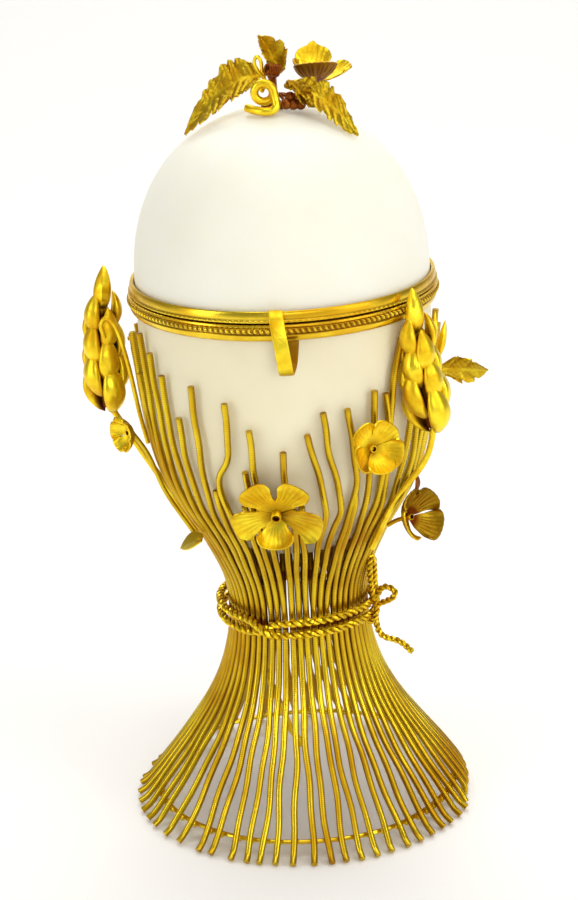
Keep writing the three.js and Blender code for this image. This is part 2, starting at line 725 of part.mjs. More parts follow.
const bouquet = new THREE.Group();
bouquet.position.set(0, 0, domeTop);
lid.add(bouquet);
add(bouquet, 'lid_berries', berryPost());
add(bouquet, 'lid_tendrils', tendrils());
const leftLeafPlace = new THREE.Vector3(-leafRoot, 0.4, leftLeafRise);
domeLeaf('lid_leaf_left', leftLeafPlace, [-1, -0.12, 0.1], leftLeafLength, leftLeafWidth, -50);
const rightLeafPlace = new THREE.Vector3(leafRoot, -3.4, rightLeafRise);
domeLeaf('lid_leaf_right', rightLeafPlace, [1, -0.38, 0], rightLeafLength, rightLeafWidth, 50);
const lidFlower = add(bouquet, 'lid_flower', flower(lidFlowerRadius, 3.6, 1.2));
face(lidFlower, new THREE.Vector3(11.8, 4.8, 7.8), 15, 60);
const foldedLeaf = add(bouquet, 'lid_folded_leaf', leaf(11, 6.5, 1));
lay(foldedLeaf, new THREE.Vector3(2.2, 0.4, 8.6), [-0.45, 0, 0.9], [0.5, -0.85, 0]);
face(add(bouquet, 'lid_coil', ribbedCoil()), new THREE.Vector3(1.5, -3.4, 10.6), -65, 12);

export default group;
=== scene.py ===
# %% [markdown]
# This file dresses an egg-shaped glass box in a gilt wire stand. The solid model says where every piece is
# and how large it is, and this file gives each piece its fine shape and its finish. The box comes in first
# as a fixed frame, so that nothing here has to be fitted by eye.

# %% Load the frame
import math

import bpy
import numpy as np
from mathutils import Euler, Matrix, Vector


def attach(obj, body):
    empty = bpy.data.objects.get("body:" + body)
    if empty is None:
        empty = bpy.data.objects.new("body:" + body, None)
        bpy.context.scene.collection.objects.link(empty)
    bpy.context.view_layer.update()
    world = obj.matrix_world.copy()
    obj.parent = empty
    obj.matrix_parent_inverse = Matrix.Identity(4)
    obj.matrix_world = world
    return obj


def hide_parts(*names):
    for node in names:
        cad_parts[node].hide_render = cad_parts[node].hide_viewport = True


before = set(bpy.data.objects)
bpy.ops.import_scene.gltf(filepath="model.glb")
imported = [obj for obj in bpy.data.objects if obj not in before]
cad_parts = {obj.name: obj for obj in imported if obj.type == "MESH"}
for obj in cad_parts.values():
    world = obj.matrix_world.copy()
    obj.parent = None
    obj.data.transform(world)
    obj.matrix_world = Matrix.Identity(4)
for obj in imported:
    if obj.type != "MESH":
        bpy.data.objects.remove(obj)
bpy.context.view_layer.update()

# %% [markdown]
# A camera fixes what has to look right first. The photograph was taken from a little above with a long
# lens, and the camera was tilted by almost three degrees, which is why the straight box seems to lean. A
# lens, a distance and three turns are enough to describe that view.

# %% The camera
MM = 0.001
PHOTO_HEIGHT = 900
FOCAL_PIXELS = 2410.0
CAMERA_PLACE = Vector((0.0, -609.8, 307.1)) * MM
LOOK_DOWN, ROLL, LOOK_LEFT = 18.775, -2.871, 0.049

camera_data = bpy.data.cameras.new("photo_camera")
camera_data.sensor_fit = "AUTO"
camera_data.sensor_width = 36.0
camera_data.lens = FOCAL_PIXELS * camera_data.sensor_width / PHOTO_HEIGHT
camera = bpy.data.objects.new("photo_camera", camera_data)
camera.location = CAMERA_PLACE
level = Euler((math.radians(90 - LOOK_DOWN), 0, math.radians(LOOK_LEFT)), "XYZ").to_matrix()
camera.rotation_euler = (level @ Matrix.Rotation(math.radians(ROLL), 3, "Z")).to_euler()
bpy.context.scene.collection.objects.link(camera)
bpy.context.scene.camera = camera
print("lens in mm:", round(camera_data.lens, 1))

# %% [markdown]
# All pieces are built from rows of points in millimetres, with the front of the box towards -Y. An azimuth
# of 0 is the front and grows towards the right hand, so a place on the round box is a radius, an azimuth
# and a height. Small helpers for that keep the later cells short.

# %% Points and directions
FRONT_TO_RIGHT = math.pi / 180


def on_azimuth(radius, azimuth, height):
    """Points on circles round the box, from arrays or single values."""
    turn = np.asarray(azimuth, float) * FRONT_TO_RIGHT
    radius, height = np.asarray(radius, float), np.asarray(height, float)
    return np.stack(np.broadcast_arrays(radius * np.sin(turn), -radius * np.cos(turn), height), -1)


def unit(vectors):
    return vectors / np.maximum(np.linalg.norm(vectors, axis=-1, keepdims=True), 1e-12)


def through(points, steps):
    """A smooth line through a few points, as a Catmull-Rom spline cut into even lengths."""
    points = np.asarray(points, float)
    ends = np.vstack([2 * points[0] - points[1], points, 2 * points[-1] - points[-2]])
    fine = []
    for a, b, c, d in zip(ends, ends[1:], ends[2:], ends[3:]):
        t = np.linspace(0, 1, 24, endpoint=False)[:, None]
        fine.append(0.5 * (2 * b + (c - a) * t + (2 * a - 5 * b + 4 * c - d) * t**2
                           + (3 * b - a - 3 * c + d) * t**3))
    fine = np.vstack([*fine, points[-1:]])
    far = np.concatenate([[0], np.cumsum(np.linalg.norm(np.diff(fine, axis=0), axis=1))])
    even = np.linspace(0, far[-1], steps)
    return np.stack([np.interp(even, far, fine[:, k]) for k in range(3)], -1)


def length_of(line):
    return float(np.linalg.norm(np.diff(line, axis=0), axis=1).sum())


print("front of a 10 mm circle:", on_azimuth(10, 0, 0).round(3))

# %% [markdown]
# Wires and tubes are rings of points that follow a line. Each ring has to keep its turn from one to the
# next, or the tube would look wrung. So a sideways direction is carried along the line and only made
# square again at each point. The same rings also serve for strips, when they are flat instead of round.

# %% Tubes along a line
def frames_along(line, closed=False):
    """Tangent, side and up direction at each point of a line, without twist."""
    steps = np.roll(line, -1, 0) - np.roll(line, 1, 0) if closed else np.gradient(line, axis=0)
    tangents = unit(steps)
    start = np.array([0.0, 0.0, 1.0]) if abs(tangents[0][2]) < 0.9 else np.array([1.0, 0.0, 0.0])
    side = unit(np.cross(start, tangents[0]))
    sides = []
    for tangent in tangents:
        side = unit(side - tangent * side.dot(tangent))
        sides.append(side)
    sides = np.array(sides)
    return tangents, sides, np.cross(tangents, sides)


def grid_faces(rows, columns, wrap_rows=False, wrap_columns=True):
    """Four-sided faces between the points of a grid."""
    row = np.arange(rows if wrap_rows else rows - 1)
    column = np.arange(columns if wrap_columns else columns - 1)
    i, j = np.meshgrid(row, column, indexing="ij")
    i2, j2 = (i + 1) % rows, (j + 1) % columns
    corners = [i * columns + j, i * columns + j2, i2 * columns + j2, i2 * columns + j]
    return np.stack(corners, -1).reshape(-1, 4)


def tube(line, radius, sides=10, closed=False, flat=1.0, start=None, twist=0.0):
    """A closed tube: radius may change along it, flat squeezes its up side, twist turns it in degrees."""
    tangents, side, up = frames_along(line, closed)
    if start is not None:
        side = unit(np.cross(start, tangents))
        up = np.cross(tangents, side)
    count = len(line)
    radius = np.broadcast_to(np.asarray(radius, float), (count,))
    wring = np.radians(np.linspace(0, 1, count) * twist)[:, None, None]
    turn = np.linspace(0, 2 * np.pi, sides, endpoint=False)
    x, y = np.cos(turn)[None, :, None], flat * np.sin(turn)[None, :, None]
    x, y = x * np.cos(wring) - y * np.sin(wring), x * np.sin(wring) + y * np.cos(wring)
    rings = line[:, None] + radius[:, None, None] * (side[:, None] * x + up[:, None] * y)
    points = rings.reshape(-1, 3)
    faces = grid_faces(count, sides, wrap_rows=closed).tolist()
    if not closed:
        faces.append(list(range(sides))[::-1])
        faces.append(list(range((count - 1) * sides, count * sides)))
    return points, [face[::-1] for face in faces]


print("a tube of 3 rings has", len(tube(np.array([[0, 0, 0], [0, 0, 1], [0, 0, 2.0]]), 1)[1]), "faces")

# %% [markdown]
# Turned pieces, such as the glass and the bands, are one outline swung round the axis of the box. A bead
# row or a milled edge is the same thing with an outline that changes a little from one azimuth to the
# next, so the outline is given as a function of the azimuth.

# %% Turned pieces
def lathe(outline, steps=180):
    """outline(azimuth) gives the closed outline there as rows of radius and height."""
    rows = []
    for azimuth in np.arange(steps) * 360 / steps:
        radius, height = outline(azimuth).T
        rows.append(on_azimuth(radius, azimuth, height))
    rows = np.stack(rows)
    return rows.reshape(-1, 3), grid_faces(steps, rows.shape[1], wrap_rows=True).tolist()


def joined(parts):
    """Several shapes as one: points and faces in one pair."""
    points, faces, before = [], [], 0
    for some, polygons in parts:
        points.append(some)
        faces += [[corner + before for corner in polygon] for polygon in polygons]
        before += len(some)
    return np.vstack(points), faces


def moved(shape, matrix):
    """A shape turned and placed by a 4 by 4 matrix."""
    points, faces = shape
    matrix = np.array(matrix)
    return points @ matrix[:3, :3].T + matrix[:3, 3], faces


print("helpers for turned pieces are ready")

# %% [markdown]
# A shape becomes a piece when it gets a mesh, a finish, the body it moves with and the plain solids it
# stands for. Each corner also keeps one number that says how deep it lies: 0 on an open place and 1 in a
# hollow. Real gilding is bright where hands rub it and brown where they can't reach, and the material darkens
# by that number. That darkening is partly such patina and partly painted shade, which stands in for the
# shade and the red-brown inter-reflection in the hollows and gaps.

# %% Making a piece
made = {}


def piece(name, shape, finish, body, nodes=(), hollow=None, sharp=35):
    """A mesh from points in millimetres; edges sharper than a number of degrees stay crisp."""
    points, faces = shape
    mesh = bpy.data.meshes.new(name)
    mesh.from_pydata((points * MM).tolist(), [], faces)
    mesh.validate()
    mesh.shade_smooth()
    mesh.set_sharp_from_angle(angle=math.radians(sharp))
    # The hollow number darkens the metal: partly patina, partly painted shade in hollows and gaps.
    depth = mesh.attributes.new("hollow", "FLOAT", "POINT")
    values = np.zeros(len(points)) if hollow is None else np.clip(hollow, 0, 1)
    depth.data.foreach_set("value", values.astype(np.float32))
    mesh.materials.append(finish)
    thing = bpy.data.objects.new(name, mesh)
    bpy.context.scene.collection.objects.link(thing)
    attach(thing, body)
    if nodes:
        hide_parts(*nodes)
    made[name] = len(faces)
    return thing


# %% [markdown]
# A finish is a tree of nodes, and every node is made, set and linked in much the same way. Three small
# helpers do that, so that the code of a finish reads like a list of what is in it. A value that is itself
# a socket becomes a link, and any other value is typed into the socket.

# %% Nodes from lists
def feed(tree, node, inputs):
    """Gives each input a fixed value, or a link where the value is another node's output."""
    for title, value in inputs.items():
        if isinstance(value, bpy.types.NodeSocket):
            tree.links.new(value, node.inputs[title])
        else:
            node.inputs[title].default_value = value
    return node


def shader_node(tree, kind, inputs, **options):
    node = tree.nodes.new("ShaderNode" + kind)
    for option, value in options.items():
        setattr(node, option, value)
    return feed(tree, node, inputs)


def new_group(name, inputs, outputs):
    """An empty node group with named sockets, and its two end nodes."""
    group = bpy.data.node_groups.new(name, "ShaderNodeTree")
    for title, (kind, value) in inputs.items():
        socket = group.interface.new_socket(title, in_out="INPUT", socket_type="NodeSocket" + kind)
        socket.default_value = value
    for title, kind in outputs.items():
        group.interface.new_socket(title, in_out="OUTPUT", socket_type="NodeSocket" + kind)
    return group, group.nodes.new("NodeGroupInput"), group.nodes.new("NodeGroupOutput")


print("node helpers are ready")

# %% [markdown]
# The metal finishes share one effect: patina and painted shade. Gilt metal is bright yellow where it is
# rubbed, deeper amber elsewhere, and brown to dark red in the hollows, with cloudy patches that follow no
# edge. The brown in the hollows is partly that patina and partly painted shade, standing in for the shade and
# the red inter-reflection between the pieces. As a node group it is built once and placed in each metal with
# that metal's own colours. It gives out a colour and a roughness and nothing else.

# %% The patina and painted shade group
def patina_and_shade_group():
    group, start, end = new_group("patina_and_shade", {
        "Bright": ("Color", (0.95, 0.66, 0.1, 1)), "Amber": ("Color", (0.75, 0.4, 0.04, 1)),
        "Brown": ("Color", (0.16, 0.045, 0.01, 1)), "Patch Size": ("Float", 120.0),
        "Hollow Reach": ("Float", 1.0), "Smooth": ("Float", 0.22), "Rough": ("Float", 0.5)},
        {"Color": "Color", "Roughness": "Float"})
    given = start.outputs
    place = shader_node(group, "TexCoord", {})
    clouds = shader_node(group, "TexNoise", {"Vector": place.outputs["Object"], "Scale": given["Patch Size"],
                                             "Detail": 4.0, "Roughness": 0.6})
    patches = shader_node(group, "MapRange", {"Value": clouds.outputs["Fac"], "From Min": 0.38,
                                              "From Max": 0.66}).outputs["Result"]
    warm = shader_node(group, "Mix", {"Factor": patches, "A": given["Bright"], "B": given["Amber"]},
                       data_type="RGBA")
    # Brown mixed in by the hollow number: partly patina, partly painted shade.
    depth = shader_node(group, "Attribute", {}, attribute_name="hollow")
    reach = shader_node(group, "Math", {0: depth.outputs["Fac"], 1: given["Hollow Reach"]},
                        operation="MULTIPLY", use_clamp=True)
    reach = reach.outputs["Value"]
    dark = shader_node(group, "Mix", {"Factor": reach, "A": warm.outputs["Result"], "B": given["Brown"]},
                       data_type="RGBA")
    dull = shader_node(group, "Math", {0: patches, 1: reach}, operation="MAXIMUM")
    rough = shader_node(group, "MapRange", {"Value": dull.outputs["Value"], "To Min": given["Smooth"],
                                            "To Max": given["Rough"]})
    feed(group, end, {"Color": dark.outputs["Result"], "Roughness": rough.outputs["Result"]})
    return group


PATINA_AND_SHADE = patina_and_shade_group()
print("patina group inputs:", [item.name for item in PATINA_AND_SHADE.interface.items_tree if item.in_out == "INPUT"])

# %% [markdown]
# Hammered, cast or wound metal is never flat. A second group adds fine unevenness: a soft dent pattern and
# a finer grain, as one height that a Bump node turns into a normal. Wire that is wound with finer wire
# needs more grain than a rolled strip, so both amounts are inputs.

# %% The unevenness group
def uneven_group():
    group, start, end = new_group("unevenness", {
        "Dent Size": ("Float", 450.0), "Dents": ("Float", 0.6), "Grain Size": ("Float", 2600.0),
        "Grain": ("Float", 0.25)}, {"Height": "Float"})
    given = start.outputs
    place = shader_node(group, "TexCoord", {})
    heights = []
    for size, amount, detail in (("Dent Size", "Dents", 2.0), ("Grain Size", "Grain", 5.0)):
        noise = shader_node(group, "TexNoise", {"Vector": place.outputs["Object"], "Scale": given[size],
                                                "Detail": detail})
        part = shader_node(group, "Math", {0: noise.outputs["Fac"], 1: given[amount]}, operation="MULTIPLY")
        heights.append(part.outputs["Value"])
    total = shader_node(group, "Math", {0: heights[0], 1: heights[1]}, operation="ADD")
    feed(group, end, {"Height": total.outputs["Value"]})
    return group


UNEVEN = uneven_group()
print("unevenness group ready")

# %% [markdown]
# The gilding is fire gilding on brass, so the shader is a metal with a saturated yellow. It reflects the
# white studio in its highlights and its own colour between the pieces, which turns the gaps red-brown; the
# brown of the hollow number paints more of that red-brown into the gaps as painted shade. Four finishes come
# from the same recipe: stamped leaves and petals, polished bands, wound straws and dark metal on the
# undersides.

# %% Metal finishes
def new_material(name):
    material = bpy.data.materials.new(name)
    material.use_nodes = True
    return material, material.node_tree, material.node_tree.nodes["Principled BSDF"]


def metal(name, patina_and_shade, uneven, bump_mm):
    material, tree, shader = new_material(name)
    colour = shader_node(tree, "Group", patina_and_shade, node_tree=PATINA_AND_SHADE)
    surface = shader_node(tree, "Group", uneven, node_tree=UNEVEN)
    bump = shader_node(tree, "Bump", {"Strength": 1.0, "Distance": bump_mm * MM,
                                      "Height": surface.outputs["Height"]})
    feed(tree, shader, {"Metallic": 1.0, "Base Color": colour.outputs["Color"],
                        "Roughness": colour.outputs["Roughness"], "Normal": bump.outputs["Normal"]})
    return material


PATINA_AND_SHADE_TITLES = ("Bright", "Amber", "Brown", "Patch Size", "Smooth", "Rough")
UNEVEN_TITLES = ("Dent Size", "Dents", "Grain Size", "Grain")
# The third colour of each finish is the brown of the hollows: partly patina, partly painted shade.
GILDINGS = {
    "stamped_gilt": (((1.0, 0.78, 0.035, 1), (0.8, 0.47, 0.01, 1), (0.15, 0.03, 0.003, 1), 150.0, 0.3, 0.5),
                     (420.0, 0.7, 2000.0, 0.22), 0.2),
    "band_gilt": (((0.98, 0.74, 0.05, 1), (0.68, 0.38, 0.012, 1), (0.12, 0.03, 0.004, 1), 45.0, 0.2, 0.36),
                  (160.0, 0.5, 2000.0, 0.12), 0.1),
    "wound_gilt": (((1.0, 0.76, 0.03, 1), (0.66, 0.37, 0.008, 1), (0.16, 0.04, 0.003, 1), 40.0, 0.2, 0.42),
                   (300.0, 0.5, 2400.0, 0.3), 0.08),
    "dark_gilt": (((0.34, 0.11, 0.014, 1), (0.2, 0.045, 0.008, 1), (0.05, 0.008, 0.003, 1), 200.0, 0.3, 0.5),
                  (500.0, 0.6, 2600.0, 0.25), 0.2)}
stamped, polished, wound, dark_gilt = (
    metal(name, dict(zip(PATINA_AND_SHADE_TITLES, patina_and_shade)), dict(zip(UNEVEN_TITLES, uneven)), bump_mm)
    for name, (patina_and_shade, uneven, bump_mm) in GILDINGS.items())
print("metals:", list(GILDINGS))

# %% [markdown]
# Opaline is glass made milky all through and then etched to a satin skin. Light goes in, scatters and
# comes out again nearby, so its shadows are soft and warm. Subsurface scattering in the Principled shader
# does that. The bowl looks creamier than the dome because it is in the shade of the straws, and a faint
# cloudiness keeps it from looking like paper.

# %% Opaline glass
def opaline(name, pale, cream, cloud_scale):
    material, tree, shader = new_material(name)
    place = shader_node(tree, "TexCoord", {}).outputs["Object"]
    clouds = shader_node(tree, "TexNoise", {"Vector": place, "Scale": cloud_scale, "Detail": 3.0})
    ramp = shader_node(tree, "ValToRGB", {"Fac": clouds.outputs["Fac"]})
    for stop, position, colour in zip(ramp.color_ramp.elements, (0.3, 0.7), (cream, pale)):
        stop.position, stop.color = position, colour
    etched = shader_node(tree, "TexNoise", {"Vector": place, "Scale": 1800.0, "Detail": 4.0}).outputs["Fac"]
    satin = shader_node(tree, "MapRange", {"Value": etched, "To Min": 0.42, "To Max": 0.62})
    bump = shader_node(tree, "Bump", {"Strength": 0.35, "Distance": 0.05 * MM, "Height": etched})
    feed(tree, shader, {"Metallic": 0.0, "IOR": 1.5, "Subsurface Weight": 0.45, "Subsurface Scale": 0.006,
                        "Subsurface Radius": (1.0, 0.85, 0.65), "Coat Weight": 0.12, "Coat Roughness": 0.3,
                        "Base Color": ramp.outputs["Color"], "Roughness": satin.outputs["Result"],
                        "Normal": bump.outputs["Normal"]})
    return material


lid_opaline = opaline("lid_opaline", (0.97, 0.93, 0.78, 1), (0.93, 0.88, 0.71, 1), 35.0)
bowl_opaline = opaline("bowl_opaline", (0.9, 0.815, 0.58, 1), (0.86, 0.75, 0.5, 1), 28.0)
print("glass finishes:", lid_opaline.name, bowl_opaline.name)

# %% [markdown]
# The egg is blown glass in two halves with ground rims. Each half is a turned piece: an outer line, an
# inner line 2.6 mm inside it and small rounded edges. The lines are superellipses, the usual way to get an
# egg that is fuller than a ball near the rim and still ends in a smooth cap.

# %% The glass egg
EGG_RADIUS, GLASS_WALL = 38.5, 2.6
BOWL_DEPTH, BOWL_BLUNTNESS, BOWL_NECK = 73.0, 2.45, 1.4
DOME_HEIGHT, DOME_BLUNTNESS = 43.0, 2.15
EDGE, POLE, GLASS_STEPS = 0.4, 0.02, 128
BOWL_RIM, PARTING, LID_FOOT, DOME_SPRING = 145.0, 146.0, 147.3, 149.2
DOME_TOP = DOME_SPRING + DOME_HEIGHT


def cap_line(radius, reach, bluntness, steps):
    """A quarter of a superellipse, from the rim to the pole."""
    turn = np.linspace(0, np.pi / 2, steps)
    height = np.sin(turn) ** (2 / bluntness)
    width = np.maximum(1 - height**bluntness, 0) ** (1 / bluntness)
    return np.stack([radius * width, reach * height], -1)


def glass_half(rim, spring, direction, reach, bluntness):
    """One half of the egg: it is straight from its rim to the spring, and domed from there in a direction."""
    outer = cap_line(EGG_RADIUS, reach, bluntness, 60)
    inner = cap_line(EGG_RADIUS - GLASS_WALL, reach - GLASS_WALL, bluntness, 60)[::-1]
    outer[:, 1], inner[:, 1] = spring + direction * outer[:, 1], spring + direction * inner[:, 1]
    outer[-1, 0] = inner[0, 0] = POLE
    soft = [[EGG_RADIUS - GLASS_WALL, rim + direction * EDGE], [EGG_RADIUS - GLASS_WALL + EDGE, rim],
            [EGG_RADIUS - EDGE, rim], [EGG_RADIUS, rim + direction * EDGE]]
    outline = np.vstack([outer, inner, soft])
    points, faces = lathe(lambda azimuth: outline, GLASS_STEPS)
    return points, faces if direction < 0 else [face[::-1] for face in faces]


bowl_half = glass_half(BOWL_RIM, PARTING - BOWL_NECK, -1, BOWL_DEPTH - BOWL_NECK, BOWL_BLUNTNESS)
lid_half = glass_half(LID_FOOT, DOME_SPRING, 1, DOME_HEIGHT, DOME_BLUNTNESS)
piece("bowl_glass", bowl_half, bowl_opaline, "base", ["egg_bowl"], sharp=60)
piece("lid_glass", lid_half, lid_opaline, "lid", ["egg_lid"], sharp=60)
print("faces in the two halves:", made["bowl_glass"], made["lid_glass"])

# %% [markdown]
# Two bands of rolled brass hold the glass. The lid's band flares outwards and has a milled lower edge. The
# bowl's band has a rounded lip, a slanted bead row like a tiny rope, and a plain flange below it. A bead
# row is a round moulding whose radius swells once for each bead, and a slant comes from shifting that
# swell a little with the height.

# %% The two bands
BEADS, BEAD_STEPS, TOOTH_STEPS = 172, 8, 4
BAND_INNER, BAND_OUTER, LIP_INNER = 38.8, 40.2, 36.9
BEAD_HEIGHT, BEAD_CREST, BEAD_SLANT = 144.3, 40.72, 1.1


def bead_band(azimuth):
    """Outline of the bowl's band at one azimuth."""
    phase = 2 * math.pi * BEADS * azimuth / 360
    turn = np.linspace(-0.5, 0.5, 9) * math.pi
    swell = 0.5 + 0.5 * np.cos(phase + BEAD_SLANT * turn)
    bead_radius = BAND_OUTER - 0.1 + (0.26 + 0.5 * swell) * np.cos(turn)
    bead = np.stack([bead_radius, BEAD_HEIGHT + 0.72 * np.sin(turn)], -1)
    below = [[BAND_INNER, 141.7], [39.5, 141.62], [39.8, 141.8], [40.12, 142.5], [40.2, 143.1],
             [40.0, 143.42]]
    above = [[40.0, 145.14], [40.3, 145.2], [40.45, 145.45], [40.38, 145.8], [40.1, 145.98],
             [LIP_INNER + 0.2, 145.98], [LIP_INNER, 145.8], [LIP_INNER, 145.32], [BAND_INNER, 145.32]]
    return np.vstack([below, bead, above])


def milled_band(azimuth):
    """Outline of the lid's band: fine teeth only on its lower edge."""
    tooth = 0.2 * (0.5 + 0.5 * math.cos(2 * math.pi * BEADS * azimuth / 360))
    return np.array([[LIP_INNER, 146.32], [39.9, 146.32], [40.12 + tooth, 146.45], [40.16 + tooth, 146.7],
                     [40.02 + tooth, 146.95], [39.92, 147.1], [39.95, 147.5], [39.9, 148.4], [39.72, 149.0],
                     [39.5, 149.18], [39.2, 149.16], [BAND_INNER, 149.0], [BAND_INNER, 147.0],
                     [LIP_INNER, 147.0]])


print("teeth on the lid band:", BEADS)

# %% [markdown]
# The hollow number of a band is set from the shape itself: a point is deep if it lies in one of the
# grooves or low between two beads. That darkening is partly patina and partly painted shade. Both bands are
# then swung round the axis in one go, with enough steps for every bead and every tooth.

# %% Making the bands
def band_hollow(points, grooves, reach, beads=False):
    """Dark where the band is close to a groove's height and inside its radius, and between beads."""
    radius = np.hypot(points[:, 0], points[:, 1])
    # Darker in the grooves and between the beads: painted shade, partly patina.
    dark = np.zeros(len(points))
    if beads:
        on_beads = np.abs(points[:, 2] - BEAD_HEIGHT) < 0.66
        dark = np.clip((BEAD_CREST - radius) / 0.36, 0, 0.8) * on_beads
    for height, inside in grooves:
        near = np.clip(1 - np.abs(points[:, 2] - height) / reach, 0, 1)
        dark = np.maximum(dark, near * (radius < inside))
    return dark


def band(name, outline, steps, body, node, grooves, reach, beads=False):
    points, faces = lathe(outline, steps)
    hollow = band_hollow(points, grooves, reach, beads)
    return piece(name, (points, [face[::-1] for face in faces]), polished, body, [node], hollow)


bowl_grooves, lid_grooves = [(143.45, 40.15), (145.15, 40.1)], [(147.0, 40.0), (146.3, 40.0)]
band("bowl_band", bead_band, BEADS * BEAD_STEPS, "base", "bowl_rim", bowl_grooves, 0.4, beads=True)
band("lid_band", milled_band, BEADS * TOOTH_STEPS, "lid", "lid_rim", lid_grooves, 0.25)
print("beads round the bowl:", BEADS)

# %% [markdown]
# The stand is a sheaf of sixty straws. On the real piece each straw is a brass wire wound with much finer
# wire, bent by hand, so the tube has a rib every half millimetre and never runs quite straight. The line
# of a straw is the one of the solid model: out from the foot over the ring, in to the waist, out again
# round the bowl.

# %% The line of a straw
STRAW_RADIUS, STRAW_PITCH, STRAW_COUNT, PER_BUNDLE = 0.9, 1.84, 60, 3
WAIST_RADIUS, WAIST_TOP, WAIST_BOTTOM = 18.558, 63.0, 46.0
HOOP_PASS, HOOP_HEIGHT, FOOT_RADIUS = 43.075, 4.2, 48.7
BASKET_RADIUS, BOWL_TO_STRAW = 37.07, 1.95
BASKET_LOW, BASKET_MIDDLE, BASKET_TOP = 77.4, 92.25, 108.0
SKIRT, BASKET = HOOP_PASS - WAIST_RADIUS, BASKET_RADIUS - WAIST_RADIUS
SKIRT_RISE = WAIST_BOTTOM - HOOP_HEIGHT
STRAW_LINE = np.array([[FOOT_RADIUS, 0], [HOOP_PASS, HOOP_HEIGHT + 0.01 * SKIRT_RISE],
                       [WAIST_RADIUS + 0.31 * SKIRT, HOOP_HEIGHT + 0.58 * SKIRT_RISE],
                       [WAIST_RADIUS + 0.03 * SKIRT, WAIST_BOTTOM], [WAIST_RADIUS, WAIST_TOP],
                       [WAIST_RADIUS + 0.29 * BASKET, BASKET_LOW],
                       [WAIST_RADIUS + 0.74 * BASKET, BASKET_MIDDLE],
                       [BASKET_RADIUS, BASKET_TOP]])


def bowl_radius(height):
    share = np.clip((PARTING - np.asarray(height, float)) / BOWL_DEPTH, 0, 1)
    return EGG_RADIUS * (1 - share**BOWL_BLUNTNESS) ** (1 / BOWL_BLUNTNESS)


def sheaf_radius(height):
    """Radius of the middle of a straw at a height."""
    height = np.asarray(height, float)
    low = np.interp(height, STRAW_LINE[:, 1], STRAW_LINE[:, 0])
    return np.where(height > BASKET_TOP, bowl_radius(height) + BOWL_TO_STRAW, low)


print("radius of the sheaf at its waist and at the rim:", sheaf_radius([55, 137]).round(1))

# %% [markdown]
# The broken ends of the front straws are what gives the sheaf its character, so they are set one by one:
# the azimuth of the tip and how far it lies below the rim. The feet of the front straws are set too. The
# straws that the photograph hides are spread evenly, with tips that rise and fall a little.

# %% Tips and feet
TIPS = {-13: (-79, 7.6), -12: (-74, 18), -11: (-68, 6), -10: (-60, 10), -9: (-53, 15), -8: (-46, 26),
        -7: (-37.5, 16), -6: (-35, 46), -5: (-24, 19.5), -4: (-22.3, 50), -3: (-19, 39), -2: (-15.5, 27),
        -1: (-3, 33), 0: (0, 51), 1: (3.5, 50), 2: (6, 28.5), 3: (12, 22.5), 4: (21.5, 22.5), 5: (28, 48),
        6: (33, 19), 7: (38, 20.5), 8: (47, 7), 9: (54, 28), 10: (61, 8), 11: (67, 20)}
BENDS = {-5: [(111, -25), (103, -31)], -2: [(101, -15)], 2: [(93, 14)],
         3: [(112, 14.6), (100, 20), (93, 21.7), (87, 19)], 4: [(96, 28)], 7: [(116, 40.7)],
         8: [(128, 42), (117, 41.7)]}
FIRST_FOOT = -17
FEET = [-111.5, -101.7, -97.4, -90.1, -83.8, -76.4, -70.2, -64.6, -55.7, -49, -39.6, -34.5, -27.4, -21.2,
        -16.7, -11.9, -5.5, 0.8, 6.2, 11.6, 16.3, 22.1, 27.6, 33, 38.8, 44.2, 49.7, 55, 60.4, 65.6, 70.8]


def tip_of(number):
    azimuth, drop = TIPS.get(number, (number * 6.0, 13 + 4 * math.sin(1.9 * number)))
    return azimuth, PARTING - drop


def foot_of(number):
    """Azimuth and radius of a foot; the right-hand side of the skirt is pressed in."""
    last = len(FEET) - 1
    beyond = number - FIRST_FOOT - last + (STRAW_COUNT if number < FIRST_FOOT else 0)
    if beyond <= 0:
        azimuth = FEET[number - FIRST_FOOT]
    else:
        azimuth = FEET[-1] + beyond * (360 - FEET[-1] + FEET[0]) / (STRAW_COUNT - last)
    off = min(abs(azimuth - 98) / 32, 1)
    azimuth -= 360 if number < FIRST_FOOT else 0
    return azimuth, FOOT_RADIUS - (FOOT_RADIUS - HOOP_PASS - 0.3) * (1 - off**4)


print("front foot:", foot_of(0), "tip beside the catch:", tip_of(-1))

# %% [markdown]
# Each straw is drawn as a line first. A few straws are bent to a side on their way up, and those bends are
# set one by one too. Bending by hand leaves slow sideways waves, which fade at the waist where the straws are
# packed side by side. The line ends where the foot touches the floor.

# %% The line of one straw
BUNDLES, RIB_STEP = STRAW_COUNT // PER_BUNDLE, 0.26


